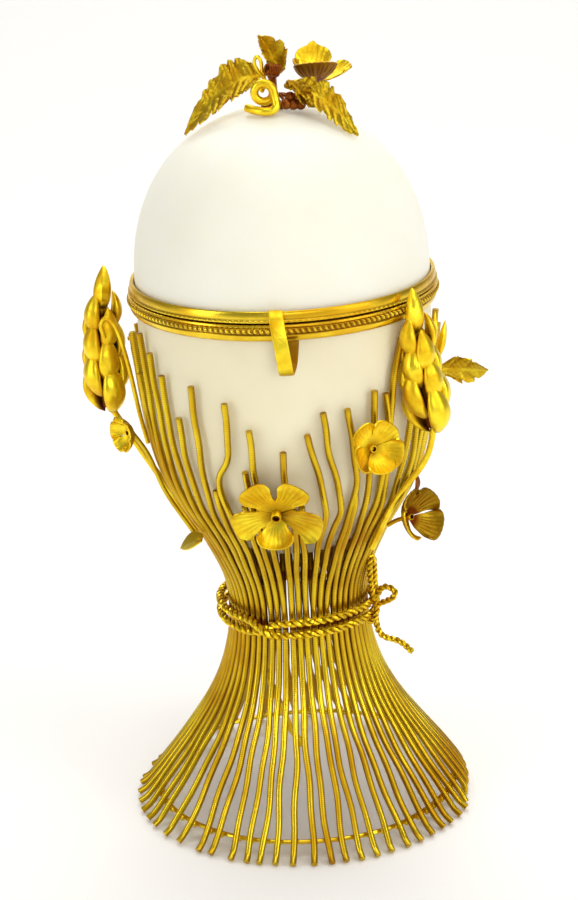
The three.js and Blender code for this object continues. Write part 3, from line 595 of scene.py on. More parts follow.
def straw_line(number):
    """The middle line of a straw, and the azimuth where it is packed at the waist."""
    bundle = round(number / PER_BUNDLE)
    beside = (number - PER_BUNDLE * bundle) * math.degrees(STRAW_PITCH / WAIST_RADIUS)
    packed = bundle * 360 / BUNDLES + beside
    tip_azimuth, tip_height = tip_of(number)
    foot_azimuth, foot_radius = foot_of(number)
    bends = BENDS.get(number, [])
    rows = []
    for row in STRAW_LINE.tolist():
        if row[1] < tip_height - 4 and all(abs(row[1] - bend) > 4 for bend, _ in bends):
            rows.append(row)
    rows += [[float(sheaf_radius(bend)), bend] for bend, _ in bends]
    between = sorted(rows[1:], key=lambda row: row[1])
    rows = [[foot_radius, 0.0], *between, [float(sheaf_radius(tip_height)), tip_height]]
    radius, height = np.array(rows).T
    waist = [(WAIST_BOTTOM, packed), (WAIST_TOP, packed)]
    course = sorted([(0, foot_azimuth), *waist, *bends, (tip_height, tip_azimuth)])
    azimuth = np.interp(height, *zip(*course))
    line = through(on_azimuth(radius, azimuth, height), 400)
    up = line[:, 2]
    loose = np.clip(np.abs(up - 54) / 20 - 0.6, 0, 1) * np.clip((tip_height - up) / 12, 0, 1)
    wave = loose * (0.32 * np.sin(up * 0.16 + 2.3 * number) + 0.18 * np.sin(up * 0.41 + number))
    sideways = np.cross([0, 0, 1.0], on_azimuth(1, packed, 0))
    line = line + wave[:, None] * sideways
    slope = unit(np.gradient(line, axis=0))[:, 2]
    standing = line[:, 2] >= STRAW_RADIUS * np.sqrt(1 - slope**2)
    line = line[np.argmax(standing):]
    return through(line[:: max(len(line) // 60, 1)], int(length_of(line) / RIB_STEP)), packed


print("length of the straw in front in mm:", round(length_of(straw_line(0)[0]), 1))

# %% [markdown]
# A straw becomes a ribbed tube: every second ring is a little smaller. The hollow number is higher in the
# groove of a rib than on its crest. It is highest on the flanks that face a neighbour at the waist, on the
# side that faces the middle of the sheaf and under the tie. In the grooves, on the flanks and on that side
# this is partly patina where hands and polish never reach and partly painted shade; under the tie it is a
# painted shadow of the tie.

# %% The ribs of one straw
RIB_DEPTH, STRAW_SIDES = 0.06, 8
TIE_MIDDLE, TIE_SHADE = 56.9, 1.4


def straw(number):
    """A ribbed straw: its points, its faces and how deep each point lies."""
    line, packed = straw_line(number)
    count = len(line)
    rib = np.arange(count) % 2
    radius = STRAW_RADIUS - RIB_DEPTH * rib
    points, faces = tube(line, radius, STRAW_SIDES, start=on_azimuth(1, packed, 0))
    points[:, 2] = np.maximum(points[:, 2], 0)
    turn = np.linspace(0, 2 * np.pi, STRAW_SIDES, endpoint=False)
    # Darker flanks and inner side, most at the packed waist: painted shade, partly patina.
    packed_tight = np.clip(1.2 - np.abs(line[:, 2] - 62) / 26, 0.45, 1)
    # A painted shadow of the tie, in a band round its middle height.
    painted_tie_shadow = np.exp(-((line[:, 2] - TIE_MIDDLE) / TIE_SHADE) ** 4)[:, None]
    flank = np.abs(np.cos(turn)) ** 3
    inside = np.clip(-np.sin(turn), 0, 1) * 0.5
    hollow = packed_tight[:, None] * np.maximum(flank, inside) + 0.35 * rib[:, None] + painted_tie_shadow
    ends = np.clip(1 - np.minimum(np.arange(count), np.arange(count)[::-1]) / 6, 0, 1)
    return points, faces, np.maximum(hollow, 0.4 * ends[:, None]).ravel()


print("faces of the straw in front:", len(straw(0)[1]))

# %% [markdown]
# The straws come in bundles of three, as the solid model has them, and each bundle is one piece. One straw
# at the left has its top bound with thin wire, which is a small tube on a spiral round the line of that
# straw.

# %% The bundles
WINDING_RADIUS, WINDING_WIRE, WINDING_PITCH, WINDING_STEPS = 1.1, 0.27, 0.5, 12


def winding(number, low, high):
    """A close winding of thin wire round the top of a straw."""
    line = straw_line(number)[0]
    line = line[(line[:, 2] > low) & (line[:, 2] < high)]
    turns = length_of(line) / WINDING_PITCH
    line = through(line[::4], int(turns * WINDING_STEPS))
    _, side, up = frames_along(line)
    turn = np.linspace(0, length_of(line) / WINDING_PITCH * 2 * np.pi, len(line))[:, None]
    return tube(line + WINDING_RADIUS * (np.cos(turn) * side + np.sin(turn) * up), WINDING_WIRE, 6)


WOUND_STRAW = -14
for bundle in range(BUNDLES):
    middle = PER_BUNDLE * (bundle - BUNDLES if bundle > BUNDLES // 2 else bundle)
    straws = [straw(middle + j) for j in (-1, 0, 1)]
    if abs(WOUND_STRAW - middle) < 2:
        coil = winding(WOUND_STRAW, 133.5, 138)
        straws.append((*coil, np.full(len(coil[0]), 0.1)))
    shape = joined([some[:2] for some in straws])
    hollow = np.concatenate([some[2] for some in straws])
    piece(f"straw_bundle_{bundle + 1:02d}", shape, wound, "base", [f"straws_{bundle + 1:02d}"],
          hollow, sharp=70)
print("faces of all straws:", sum(count for name, count in made.items() if name.startswith("straw")))

# %% [markdown]
# Inside the skirt a plain wire ring keeps the feet apart, and every straw is soldered to it. The solder
# shows as a small bright lump at each crossing. A loose wire end hangs down inside the sheaf from the
# binding.

# %% Ring, solder and the loose wire end
def ball(centre, size, rings=7, sides=10):
    """A rounded lump with three sizes along X, Y and Z."""
    turn = np.linspace(0.06, math.pi - 0.06, rings)
    line = np.stack([np.zeros(rings), np.zeros(rings), np.cos(turn)], -1)
    points, faces = tube(line[::-1], np.sin(turn), sides)
    return points * np.asarray(size, float) + np.asarray(centre, float), faces


RING_RADIUS, RING_WIRE, SOLDER_RADIUS = 40.7, 0.64, 41.35
random = np.random.default_rng(7)


def ring_wire():
    """The ring, a little uneven, with a lump of solder where each straw passes it."""
    azimuth = np.arange(240) * 1.5
    radius = RING_RADIUS + 0.12 * np.sin(np.radians(azimuth) * 5)
    height = HOOP_HEIGHT + 0.12 * np.sin(np.radians(azimuth) * 7 + 1)
    parts = [tube(on_azimuth(radius, azimuth, height), RING_WIRE, 10, closed=True)]
    for number in range(-29, 31):
        crossing = straw_line(number)[0]
        near = crossing[np.argmin(np.abs(crossing[:, 2] - HOOP_HEIGHT))]
        outwards = unit(near[:2])
        lump = ball([0, 0, 0], [0.75, 0.65 + 0.2 * random.random(), 0.8 + 0.25 * random.random()])
        turn = Matrix.Rotation(math.atan2(outwards[1], outwards[0]), 4, "Z")
        place = Vector((*(outwards * SOLDER_RADIUS), HOOP_HEIGHT))
        parts.append(moved(lump, Matrix.Translation(place) @ turn))
    return joined(parts)


piece("foot_ring", ring_wire(), polished, "base", ["foot_hoop"])
held, bend = on_azimuth(15.3, -120, 46), on_azimuth(5.9, -70, 24)
stub_line = through([held, held * 0.45 + bend * 0.55 + [-0.6, 0, 0], bend, bend + [1.6, -0.4, -4.6],
                     bend + [4.8, -1, -9.6]], 90)
piece("loose_wire_end", tube(stub_line, 0.96, 12), stamped, "base", ["inner_stub"])
print("solder lumps:", STRAW_COUNT)

# %% [markdown]
# Two turns of twisted wire hold the waist, with a bow, a loop and a loose tail at the right. A twisted
# wire is two strands that wind round one line, half a turn apart, so each strand is a tube on a spiral.
# The two turns cross once at the left of the front, where one climbs over the other.

# %% The twisted tie
ROPE_STRAND, ROPE_OFFSET, ROPE_PITCH = 0.62, 0.54, 4.1
CORD_STRAND, CORD_OFFSET, CORD_PITCH = 0.5, 0.42, 3.2
TIE_RADIUS, TIE_LOW, TIE_HIGH = 21.3, 55.2, 58.6
KNOT_AZIMUTH, CROSSING, CLIMB = 65.0, -25, 1.9


def twisted(line, strand, offset, pitch):
    """Two strands twisted round a line, and how deep each point of them lies between the strands."""
    steps = max(int(length_of(line) / pitch * 10), 12)
    line = through(line, steps)
    _, side, up = frames_along(line)
    turn = np.linspace(0, length_of(line) / pitch, steps) * 2 * np.pi
    parts = []
    for half in (0, np.pi):
        x, y = np.cos(turn + half)[:, None], np.sin(turn + half)[:, None]
        parts.append(tube(line + offset * (x * side + y * up), strand, 7))
    points, faces = joined(parts)
    # Points deep between the two strands are darker: painted shade, partly patina.
    middle = np.tile(np.repeat(line, 7, 0), (2, 1))
    away = np.linalg.norm(points - middle, axis=1)
    return points, faces, np.clip(1.3 - away / (0.72 * (strand + offset)), 0, 1)


def tie_turn(first, second, bulge):
    """One turn from the knot round the sheaf: it changes height, and may bulge, where the two turns cross."""
    azimuth = KNOT_AZIMUTH - np.linspace(0, 360, 181)
    change = 1 / (1 + np.exp((azimuth - CROSSING) / 3.2))
    height = first + (second - first) * change
    radius = TIE_RADIUS + bulge * np.exp(-((azimuth - CROSSING) / 9) ** 2)
    return on_azimuth(radius, azimuth, height + 0.25 * np.sin(np.radians(azimuth) * 3))


def near_knot(rows):
    """Points beside the knot, from rows of distance outwards, degrees round and height."""
    out, turn, height = np.array(rows, float).T
    return on_azimuth(TIE_RADIUS + 0.3 + out, KNOT_AZIMUTH + turn, height)


print("length of one turn in mm:", round(length_of(tie_turn(TIE_LOW, TIE_HIGH, CLIMB)), 1))

# %% [markdown]
# The cords of the bow are given beside the knot: how far a point stands out, how far it is turned from the
# knot, and its height. They go up behind the straws and back, out to the side in a loop, and down as a
# loose tail, and a short one goes over the knot itself.

# %% Bow, loop and tail
bow = [[0.8, 0.5, 59], [1.1, 0.5, 65], [1.2, 0, 70], [1.2, -2, 72.2], [1, -4.8, 71.5], [0.9, -5.2, 68],
       [0.9, -3.5, 63], [0.8, -1, 59.6]]
side_loop = [[1, 0, 59.5], [3.6, 0, 63.4], [6.8, 0, 62.8], [6.2, 0, 60.6], [3, 0, 58.8], [1, 0, 57.8]]
loose_tail = [[0.8, 0, 56], [1.4, 0.5, 51.5], [2.3, 1, 49.4], [3.9, 1, 48.6], [8, 0, 48.1], [11.6, -1, 45.9]]
knot = [[-0.2, 2.5, 60.6], [1.4, 1, 59.6], [1.7, -1, 57], [1.3, -3, 54.4], [-0.2, -4, 53.4]]
ropes = [twisted(tie_turn(*heights, climb), ROPE_STRAND, ROPE_OFFSET, ROPE_PITCH)
         for *heights, climb in ((TIE_HIGH, TIE_LOW, 0), (TIE_LOW, TIE_HIGH, CLIMB))]
ropes += [twisted(near_knot(cord), CORD_STRAND, CORD_OFFSET, CORD_PITCH)
          for cord in (bow, side_loop, loose_tail, knot)]
piece("twisted_tie", joined([rope[:2] for rope in ropes]), wound, "base", ["sheaf_tie"],
      np.concatenate([rope[2] for rope in ropes]))
print("faces of the tie:", made["twisted_tie"])

# %% [markdown]
# Two ears of wheat stand beside the bowl. Each is made of pointed husks packed round a stem and
# overlapping like tiles, with dark gaps between. One husk is a tube whose width swells and then runs out
# to a point, with a keel down its back. The columns are shifted against each other by half a husk.

# %% One husk
def husk(length, width, depth):
    """A closed pointed husk along +Z whose keeled back faces -Y."""
    along = np.linspace(0, 1, 19)
    swell = np.sin(np.pi * along**0.9) ** 0.72 + 0.02
    line = np.stack([0 * along, -0.7 * depth * np.sin(np.pi * along**0.9) ** 0.9, along * length], -1)
    points, faces = tube(line, swell, 16, start=np.array([0, -1.0, 0]))
    middle = np.repeat(line, 16, 0)
    local = points - middle
    keel = 0.22 * np.exp(-(local[:, 0] / 0.22) ** 2) * (local[:, 1] < 0) * np.repeat(swell, 16)
    return middle + local * [width / 2, depth / 2, 1] - np.outer(keel, [0, depth / 2, 0]), faces


print("faces of one husk:", len(husk(14, 6, 3)[1]))

# %% [markdown]
# An ear has five columns of husks, three in each, and one more husk at its top. A little chance in the
# turn and lean of each husk takes away the look of a machine. The whole ear is bowed to one side at the
# end.

# %% One ear
EAR_BOW, EAR_ROWS, HUSK_SIZE = 1.1, 3, (14.0, 6.2, 3.4)
EAR_COLUMNS = [(-38, 0.5), (32, 0.0), (102, 0.5), (172, 0.0), (-110, 0.0)]


def wheat_ear(length, seed):
    """An ear along +Z: five columns of husks round a stem, and one husk at the top."""
    chance = np.random.default_rng(seed)
    step = length * 0.68 / EAR_ROWS
    stem = np.stack([np.zeros(12), np.zeros(12), np.linspace(1.6, length * 0.85, 12)], -1)
    parts = [tube(stem, np.linspace(1.7, 1.1, 12), 8)]
    for azimuth, shift in EAR_COLUMNS:
        for row in range(EAR_ROWS):
            rise = (row + shift) * step
            small = 1.04 - 0.42 * rise / length
            grain = husk(*(size * small for size in HUSK_SIZE))
            lean = Matrix.Rotation(math.radians(5 + 5 * chance.random() - 4 * rise / length), 4, "X")
            turn = Matrix.Rotation(math.radians(azimuth + 5 * chance.normal()), 4, "Z")
            out = Matrix.Translation((0.3 * chance.normal(), -1.3, rise))
            parts.append(moved(grain, turn @ out @ lean))
    top = husk(HUSK_SIZE[0] * 0.9, HUSK_SIZE[1] * 0.75, HUSK_SIZE[2])
    parts.append(moved(top, Matrix.Translation((0, 1.0, length * 0.71))))
    points, faces = joined(parts)
    points[:, 0] -= EAR_BOW * np.sin(np.pi * np.clip(points[:, 2] / length, 0, 1))
    return points, faces


print("faces of one ear:", len(wheat_ear(36.0, 5)[1]))

# %% [markdown]
# The ears stand on wires that follow the straws from the waist. A wire hook hangs beside the left ear, and
# two thin husks look out from behind the right one. Points near the stem are the deepest, which paints the
# dark gaps between the husks: painted shade, partly patina.

# %% The two ears
STALK_WIRE = 0.85


def ear_piece(name, node, azimuth, radius, bottom, length, lean, stalk, wires, seed):
    """An ear on the sheaf, on a stalk through given points, with other wires or husks soldered to it."""
    ear = wheat_ear(length, seed)
    core = np.hypot(ear[0][:, 0], ear[0][:, 1])
    foot = on_azimuth(radius, azimuth, bottom)
    place = Matrix.Translation(foot.tolist()) @ Matrix.Rotation(math.radians(lean), 4, "Y")
    stem = tube(through(stalk + [(foot + [0, 0, 2]).tolist()], 90), STALK_WIRE, 9)
    shape = joined([moved(ear, place), stem, *wires])
    hollow = np.zeros(len(shape[0]))
    # Darker near the stem, in the gaps between the husks: painted shade, partly patina.
    hollow[:len(core)] = np.clip(2.0 - core / 1.9, 0, 1) * (ear[0][:, 2] < length * 0.72)
    return piece(name, shape, stamped, "base", [node], hollow, sharp=50)


def on_sheaf(height, azimuth, proud):
    """A point at a height and azimuth that stands proud of the straws."""
    return on_azimuth(sheaf_radius(height) + 1.25 + proud, azimuth, height).tolist()


ON_STRAWS = 1.35
hook = [[-47.2, -3.6, 134.5], [-47.8, -4.6, 138.2], [-46.2, -5.2, 140.2], [-43.8, -4.8, 137],
        [-41.6, -3.2, 127], [-39.5, -2.4, 113], [-37.8, -2.2, 104.5]]
ear_piece("wheat_ear_at_left", "wheat_ear_left", -93, 47.8, 112.3, 38.6, 1.6,
          [on_sheaf(BASKET_LOW, -93, ON_STRAWS), on_sheaf(BASKET_MIDDLE, -93, ON_STRAWS),
           [-42.6, 2.2, 105.5]],
          [tube(through(hook, 60), 0.62, 8)], 3)
behind = []
for k in range(2):
    place = Matrix.Translation((37.4 + 1.4 * k, -21.5, 131.5 - 1.5 * k))
    behind.append(moved(husk(11 - k, 2.0, 1.3), place @ Matrix.Rotation(math.radians(4 + 7 * k), 4, "Y")))
ear_piece("wheat_ear_at_right", "wheat_ear_right", 53.2, 46.0, 112.2, 36.0, -7,
          [on_sheaf(BASKET_LOW, 49, ON_STRAWS), on_sheaf(BASKET_MIDDLE, 49, ON_STRAWS),
           [34.4, -25.2, 104]],
          behind, 5)
print("faces of the ears:", made["wheat_ear_at_left"], made["wheat_ear_at_right"])

# %% [markdown]
# Flowers and leaves are stamped from thin sheet and bent by hand. A sheet here is a grid of points, and a
# second grid just behind it closes it into real metal with an edge, so it also looks right from the back.

# %% Sheet metal
SHEET = 0.42


def sheet(points, rows, columns):
    """A closed sheet from a grid of points, thickened to its under side."""
    grid = points.reshape(rows, columns, 3)
    normals = unit(np.cross(np.gradient(grid, axis=1), np.gradient(grid, axis=0)))
    back = grid - normals * SHEET
    count = rows * columns
    front_faces = grid_faces(rows, columns, wrap_columns=False)
    faces = front_faces.tolist() + (front_faces[:, ::-1] + count).tolist()
    edge = ([(0, j) for j in range(columns)] + [(i, columns - 1) for i in range(1, rows)]
            + [(rows - 1, j) for j in range(columns - 2, -1, -1)] + [(i, 0) for i in range(rows - 2, 0, -1)])
    loop = [i * columns + j for i, j in edge]
    for a, b in zip(loop, loop[1:] + loop[:1]):
        faces.append([b, a, a + count, b + count])
    return np.vstack([grid.reshape(-1, 3), back.reshape(-1, 3)]), faces


print("thickness of the sheet in mm:", SHEET)

# %% [markdown]
# A petal is such a sheet with a cup, a curl at its rim and fine ridges that run out from the middle.
# Neighbouring petals touch near the middle and part further out, which leaves the narrow slits of the real
# flowers. The sheet is darkest at its root, in the grooves of its ridges and on its back: painted shade,
# partly patina at the root and in the grooves. The shade setting adds more painted shade to a whole petal.

# %% One petal
def petal(radius, cup, curl, half=34.0, slit=4.0, notch=0.0, ridge=0.14, fold=0.0, shade=0.0):
    """One petal along +Y with its root at the origin, and how deep each of its points lies.

    half is its half width in degrees and slit what it loses of that near the rim. cup raises the whole petal,
    curl its rim, fold its two sides and ridge its veins. notch cuts in at the tip, and shade darkens it.
    """
    rows, columns = 22, 25
    out, across = np.meshgrid(np.linspace(0.08, 1, rows), np.linspace(-1, 1, columns), indexing="ij")
    open_part = np.clip((out - 0.38) / 0.14, 0, 1)
    swing = np.radians(across * (half + 1 - slit * open_part))
    rounded = 1 - 0.2 * np.abs(across) ** 5 * out**2
    reach = radius * out * (rounded + notch * np.exp(-(across / 0.16) ** 2) * out**3)
    veins = ridge * np.sin(across * half * 0.62) * np.clip(out - 0.25, 0, 1) * (1 - across**4)
    rim = curl * out**6 * (0.6 + 0.4 * across**2)
    height = cup * out**2 + rim + veins + fold * np.abs(across) * out
    points = np.stack([reach * np.sin(swing), reach * np.cos(swing), height], -1).reshape(-1, 3)
    # Darker at the root, in the grooves and on the back, plus the shade setting: painted shade, partly
    # patina.
    deep = shade + np.clip(0.95 - out * 2.1, 0, 1) + 0.5 * (veins < -0.02) * np.clip(1.1 - out, 0, 1)
    return sheet(points, rows, columns), np.concatenate([deep.ravel(), np.minimum(deep.ravel() + 0.35, 1)])


print("faces of one petal:", len(petal(10, 2, 0)[0][1]))

# %% [markdown]
# A flower is a ring of petals round a short tube, the crimped end of its stem. It is built flat, facing
# up, and then turned outwards and set on the sheaf.

# %% A flower
def centre_tube(radius, height):
    """A short open tube whose inside is painted dark as shade, like the crimped end of the stem."""
    outline = np.array([[radius * 0.5, 0], [radius, 0], [radius * 1.05, height * 0.8], [radius * 0.9, height],
                        [radius * 0.65, height], [radius * 0.5, height * 0.8]])
    points, faces = lathe(lambda azimuth: outline, 28)
    inside = (np.hypot(points[:, 0], points[:, 1]) < radius * 0.7) * 1.0
    return (points, faces), inside


def facing(place, azimuth, tip):
    """Turns +Z outwards at an azimuth, tipped up, and moves it to a place."""
    tip = math.radians(tip)
    outwards = Vector(on_azimuth(math.cos(tip), azimuth, math.sin(tip)).tolist())
    side = Vector((0, 0, 1)).cross(outwards).normalized()
    turn = Matrix((side, outwards.cross(side), outwards)).transposed().to_4x4()
    return Matrix.Translation(place) @ turn


def flower(radius, petals, tube_radius, tube_height):
    """petals is a list of (turn, tilt, size, petal settings); the tilt bends a petal up at its root."""
    parts, depths = [], []
    for turn, tilt, size, settings in petals:
        shape, deep = petal(radius * size, **settings)
        bend = Matrix.Rotation(math.radians(turn), 4, "Z") @ Matrix.Rotation(math.radians(tilt), 4, "X")
        parts.append(moved(shape, bend))
        depths.append(deep)
    shape, inside = centre_tube(tube_radius, tube_height)
    return joined([*parts, shape]), np.concatenate([*depths, inside])


print("faces of a flower:", len(flower(10, [(0, 0, 1, {"cup": 2, "curl": 0})], 1, 1)[0][1]))

# %% [markdown]
# The large flower in front faces the viewer and leans down a little. Its petals differ: the left one is
# flat and wide, the lower one curls up like a scoop, the right one is folded lengthwise and the two upper
# ones roll back at the rim. The turns are counted from the top, anticlockwise.

# %% The flowers on the sheaf
def stamped_piece(name, node, shape, deep, finish=stamped, body="base"):
    return piece(name, shape, finish, body, [node] if node else [], deep, sharp=50)


front_petals = [(36, -3, 1.0, {"cup": 2.6, "curl": -1.3, "half": 36, "slit": 7}),
                (106, 4, 1.03, {"cup": 1.2, "curl": 0.5, "half": 33, "slit": 6}),
                (181, 38, 0.78, {"cup": 2.6, "curl": 1.4, "half": 43, "slit": 5}),
                (257, 5, 1.09, {"cup": 1.8, "curl": 0.3, "slit": 6, "fold": 0.9, "shade": 0.15}),
                (326, -3, 1.02, {"cup": 3.0, "curl": -1.5, "slit": 7})]
shape, deep = flower(11.2, front_petals, 1.3, 1.8)
shape = moved(shape, facing(on_sheaf(94.7, -7.2, 1.3), -7.2, -19))
stamped_piece("large_front_flower", "front_flower", shape, deep)

right_petals = [(36 + 72 * k, tilt, 1, {"cup": 2.1, "curl": 0.5, "half": 35.5, "slit": 2.5, "ridge": 0.08})
                for k, tilt in enumerate((5, 16, 30, 14, 5))]
shape, deep = flower(7.7, right_petals, 0.9, 1.2)
shape = moved(shape, facing(on_sheaf(111.0, 30.2, 1.6), 25, 8))
stamped_piece("flower_at_right", "right_flower", shape, deep)


def flower_on_wire(name, node, petals, radius, place, azimuth, tip, stalk):
    turned = facing(place, azimuth, tip)
    shape, deep = flower(radius, petals, 0.85, 1.3)
    end = turned @ Vector((0, 0, -0.2))
    wire = tube(through([*stalk, list(end)], 50), 0.6, 8)
    deep = np.concatenate([deep, np.full(len(wire[0]), 0.3)])
    return stamped_piece(name, node, joined([moved(shape, turned), wire]), deep)


side_petals = [(turn, 14, size, {"cup": 3.4, "curl": 0.7, "slit": 3, "half": half, "shade": shade})
               for turn, half, size, shade in
               ((-48, 36, 1.0, 0.7), (-132, 38, 1.02, 0.6), (105, 45, 0.92, 0.1), (26, 34, 1.0, 0.55))]
flower_on_wire("flower_at_side", "side_flower", side_petals, 8.4, on_sheaf(86, 58, 5.2), 44, 16,
               [on_sheaf(83, 57, 0.9), on_sheaf(84.5, 58, 2.4)])
left_petals = [(10 + 72 * k, 12, 1, {"cup": 2.2, "curl": 0.6, "ridge": 0.08}) for k in range(5)]
flower_on_wire("flower_at_left", "left_flower", left_petals, 5.2, on_sheaf(109.8, -78.8, 3.8), -52, 0,
               [on_sheaf(BASKET_LOW, -76, 1.0), on_sheaf(BASKET_MIDDLE, -76, 1.0), on_sheaf(103, -78, 1.6)])
print("flowers:", [name for name in made if "flower" in name])

# %% [markdown]
# Leaves are stamped with a toothed edge, a midrib and side veins that stand up from the sheet, and are
# then bent over the glass. The same grid of points serves for all of them: along the leaf, across it, and
# a height made of the fold at the midrib, the veins and the droop.

# %% One leaf
def leaf(length, width, droop, roll=0.0, twist=0.0, teeth=8, fold=0.3, emboss=0.35, widest=1.0):
    """A leaf along +X and how deep each point lies; roll and twist turn it about its length in degrees.

    fold raises its two halves from the midrib, and emboss its side veins and the knobs between them. widest
    moves the widest place, which is in the middle at 1, towards the tip.
    """
    rows, columns = 81, 33
    along, across = np.meshgrid(np.linspace(0, 1, rows), np.linspace(-1, 1, columns), indexing="ij")
    toothed = np.abs(across) ** 2 * (teeth > 0)
    uneven = along + 0.035 * np.sin(along * 19 + np.sign(across))
    tooth = (uneven * teeth * (1 + 0.1 * along)) % 1
    margin = 1 - 0.3 * (1 - tooth) ** 1.4 * toothed
    half = width / 2 * np.sin(np.pi * (0.1 + 0.9 * along) ** widest) ** 0.8 * margin + 0.18
    lean = length / max(teeth, 1) * 0.5 * toothed * (1 - along)
    slanted = uneven * teeth - 0.55 * np.abs(across)
    ribs = np.cos(2 * np.pi * slanted) * np.abs(across) ** 0.5 * (1 - along**6)
    x, y = np.minimum(along * length + lean, length), across * half
    knobs = 0.3 * np.sin(x * 4.1 + 1.5 * np.sin(y * 1.7)) * np.sin(y * 3.9 + 1.2 * np.sin(x * 1.3))
    relief = emboss * (0.7 * ribs + knobs) * (1 - np.exp(-(across / 0.12) ** 2))
    height = fold * np.abs(y) + relief + 0.2 * np.exp(-(across / 0.1) ** 2)
    turn = np.radians(roll + twist * along)
    points = np.stack([x, y * np.cos(turn) - height * np.sin(turn),
                       y * np.sin(turn) + height * np.cos(turn) - droop * along**2], -1).reshape(-1, 3)
    # Darker in the grooves between veins and knobs and on the back: painted shade, partly patina.
    low = np.clip(-ribs, 0, 1) + np.clip(-2 * knobs, 0, 0.6)
    deep = np.clip(0.15 + 0.6 * low, 0, 0.8) * (np.abs(across) > 0.08) * (emboss > 0.1)
    return sheet(points, rows, columns), np.concatenate([deep.ravel(), deep.ravel() * 0.5 + 0.35])


print("faces of one leaf:", len(leaf(10, 5, 1)[0][1]))

# %% [markdown]
# Each leaf is laid with its length along one direction and its face towards another. The three small ones
# on the sheaf come first: a twisted leaf behind the right ear, a smooth petal at the left and a bud at the
# right.

# %% Leaves on the sheaf
def laid(place, along, above):
    """Lays +X along a direction with +Z towards another."""
    x = Vector(along).normalized()
    y = Vector(above).cross(x).normalized()
    return Matrix.Translation(place) @ Matrix((x, y, x.cross(y))).transposed().to_4x4()


def leaf_piece(name, node, settings, place, along, above, finish=stamped, body="base", darker=0.0):
    shape, deep = leaf(**settings)
    return stamped_piece(name, node, moved(shape, laid(place, along, above)), deep + darker, finish, body)


leaf_piece("leaf_at_right", "curled_leaf",
           {"length": 13, "width": 8, "droop": 1.8, "roll": 35, "twist": 62, "teeth": 3, "fold": 0.25,
            "emboss": 0.14}, on_sheaf(119.6, 92, -0.1), [1, 0, 0.05], [0, -0.6, 0.8])
leaf_piece("petal_at_left", "lower_petal",
           {"length": 7.4, "width": 5.4, "droop": 2, "teeth": 0, "fold": 0.2, "emboss": 0.08},
           on_sheaf(81.5, -58, 1.2), [-1, 0.35, -0.3], [0, -0.5, 0.85])
leaf_piece("bud_at_right", "small_bud",
           {"length": 5.2, "width": 3.4, "droop": 1, "teeth": 0, "fold": 0.4, "emboss": 0.08},
           on_sheaf(88, 80, 1.4), [0.3, 0, 1], [1, -0.3, 0], finish=dark_gilt)
print("leaves on the sheaf: leaf_at_right, petal_at_left, bud_at_right")

# %% [markdown]
# A bouquet crowns the dome: two long leaves lean out over it, a flower and a folded leaf stand behind,
# wire tendrils curl down at the front, and dark berries lie to the right. Everything grows from a small
# disc on a post. The origin of the bouquet is the top of the glass, so the numbers below are small.

# %% Leaves and flower of the bouquet
def on_top(x, y, z):
    return np.array([x, y, DOME_TOP + z])


leaf_piece("lid_leaf_at_left", "lid_leaf_left",
           {"length": 18.6, "width": 12.5, "droop": 15.2, "roll": -50, "teeth": 7, "emboss": 0.45},
           on_top(-3, 0.4, 7.8).tolist(), [-1, -0.12, 0.1], [0, 0, 1], body="lid")
leaf_piece("lid_leaf_at_right", "lid_leaf_right",
           {"length": 19.0, "width": 9.2, "droop": 12.3, "roll": 50, "teeth": 7, "emboss": 0.45,
            "widest": 1.5},
           on_top(3, -3.4, 6).tolist(), [1, -0.38, 0], [0, 0, 1], body="lid")
leaf_piece("lid_folded_leaf_behind", "lid_folded_leaf",
           {"length": 11.0, "width": 7.0, "droop": 1.0, "teeth": 3, "fold": 1.0, "emboss": 0.14},
           on_top(2.2, 0.4, 8.5).tolist(), [-0.45, 0, 0.9], [0.5, -0.85, 0], body="lid")
lid_petals = [(-5, 50, 1.08, {"cup": 2.4, "curl": -0.6, "notch": 0.13, "half": 42}),
              (178, 40, 1.08, {"cup": 2.4, "curl": 0.6, "half": 50, "shade": 0.5}),
              (-80, 8, 1.22, {"cup": 2.0, "curl": 0.4, "half": 21}),
              (98, 30, 0.9, {"cup": 2.4, "curl": 0.6, "half": 32, "shade": 0.4})]
shape, deep = flower(8.3, lid_petals, 0.8, 1.2)
shape = moved(shape, facing(on_top(10.6, 4.0, 5.4).tolist(), 8, 74))
stamped_piece("flower_on_lid", "lid_flower", shape, deep, body="lid")
print("bouquet:", [name for name in made if "lid_" in name or name.endswith("lid")])

# %% [markdown]
# The tendrils are one thick wire that starts in a spiral, makes a round ring and then curls along the
# dome, with a thinner loop behind it and a tight coil that was wound on a nail. All of them are tubes on a
# line, so only the lines differ.

# %% Tendrils and coil
CURL_RADIUS, CURL_WIRE, CURL_STEPS, LOOP_WIRE = 2.45, 1.08, 260, 0.47
turn = np.linspace(0, 2.95, 60) * np.pi
wide = CURL_RADIUS * np.clip(0.12 + turn / (1.35 * np.pi), 0, 1)
forwards = np.linspace(-3.1, -7.5, 60)
ring = on_top(0, 0, 5) + np.stack([-2.3 - wide * np.cos(turn), forwards, wide * np.sin(turn)], -1)
tail = [(0.5, -7.9, 3.4), (0.6, -8.5, 1.8), (-0.5, -8.8, 0.8), (-2.6, -8.5, 0.6), (-4.8, -7.2, 0.8),
        (-6.8, -5.2, 1.1)]
curl_line = through(np.vstack([ring, *[on_top(*point) for point in tail]]), CURL_STEPS)
curl = tube(curl_line, CURL_WIRE * np.clip(0.65 + np.arange(CURL_STEPS) / 120, 0, 1), 12)
thin_loop = [(-2.2, -2.2, 8), (-3.6, -2.5, 10), (-4.4, -2.7, 12), (-3.7, -2.8, 13.6), (-2.7, -2.6, 12.2),
             (-2.5, -2.2, 9.6), (-2, -1.8, 7.6)]
loop = tube(through([on_top(*point) for point in thin_loop], 110), LOOP_WIRE, 8)
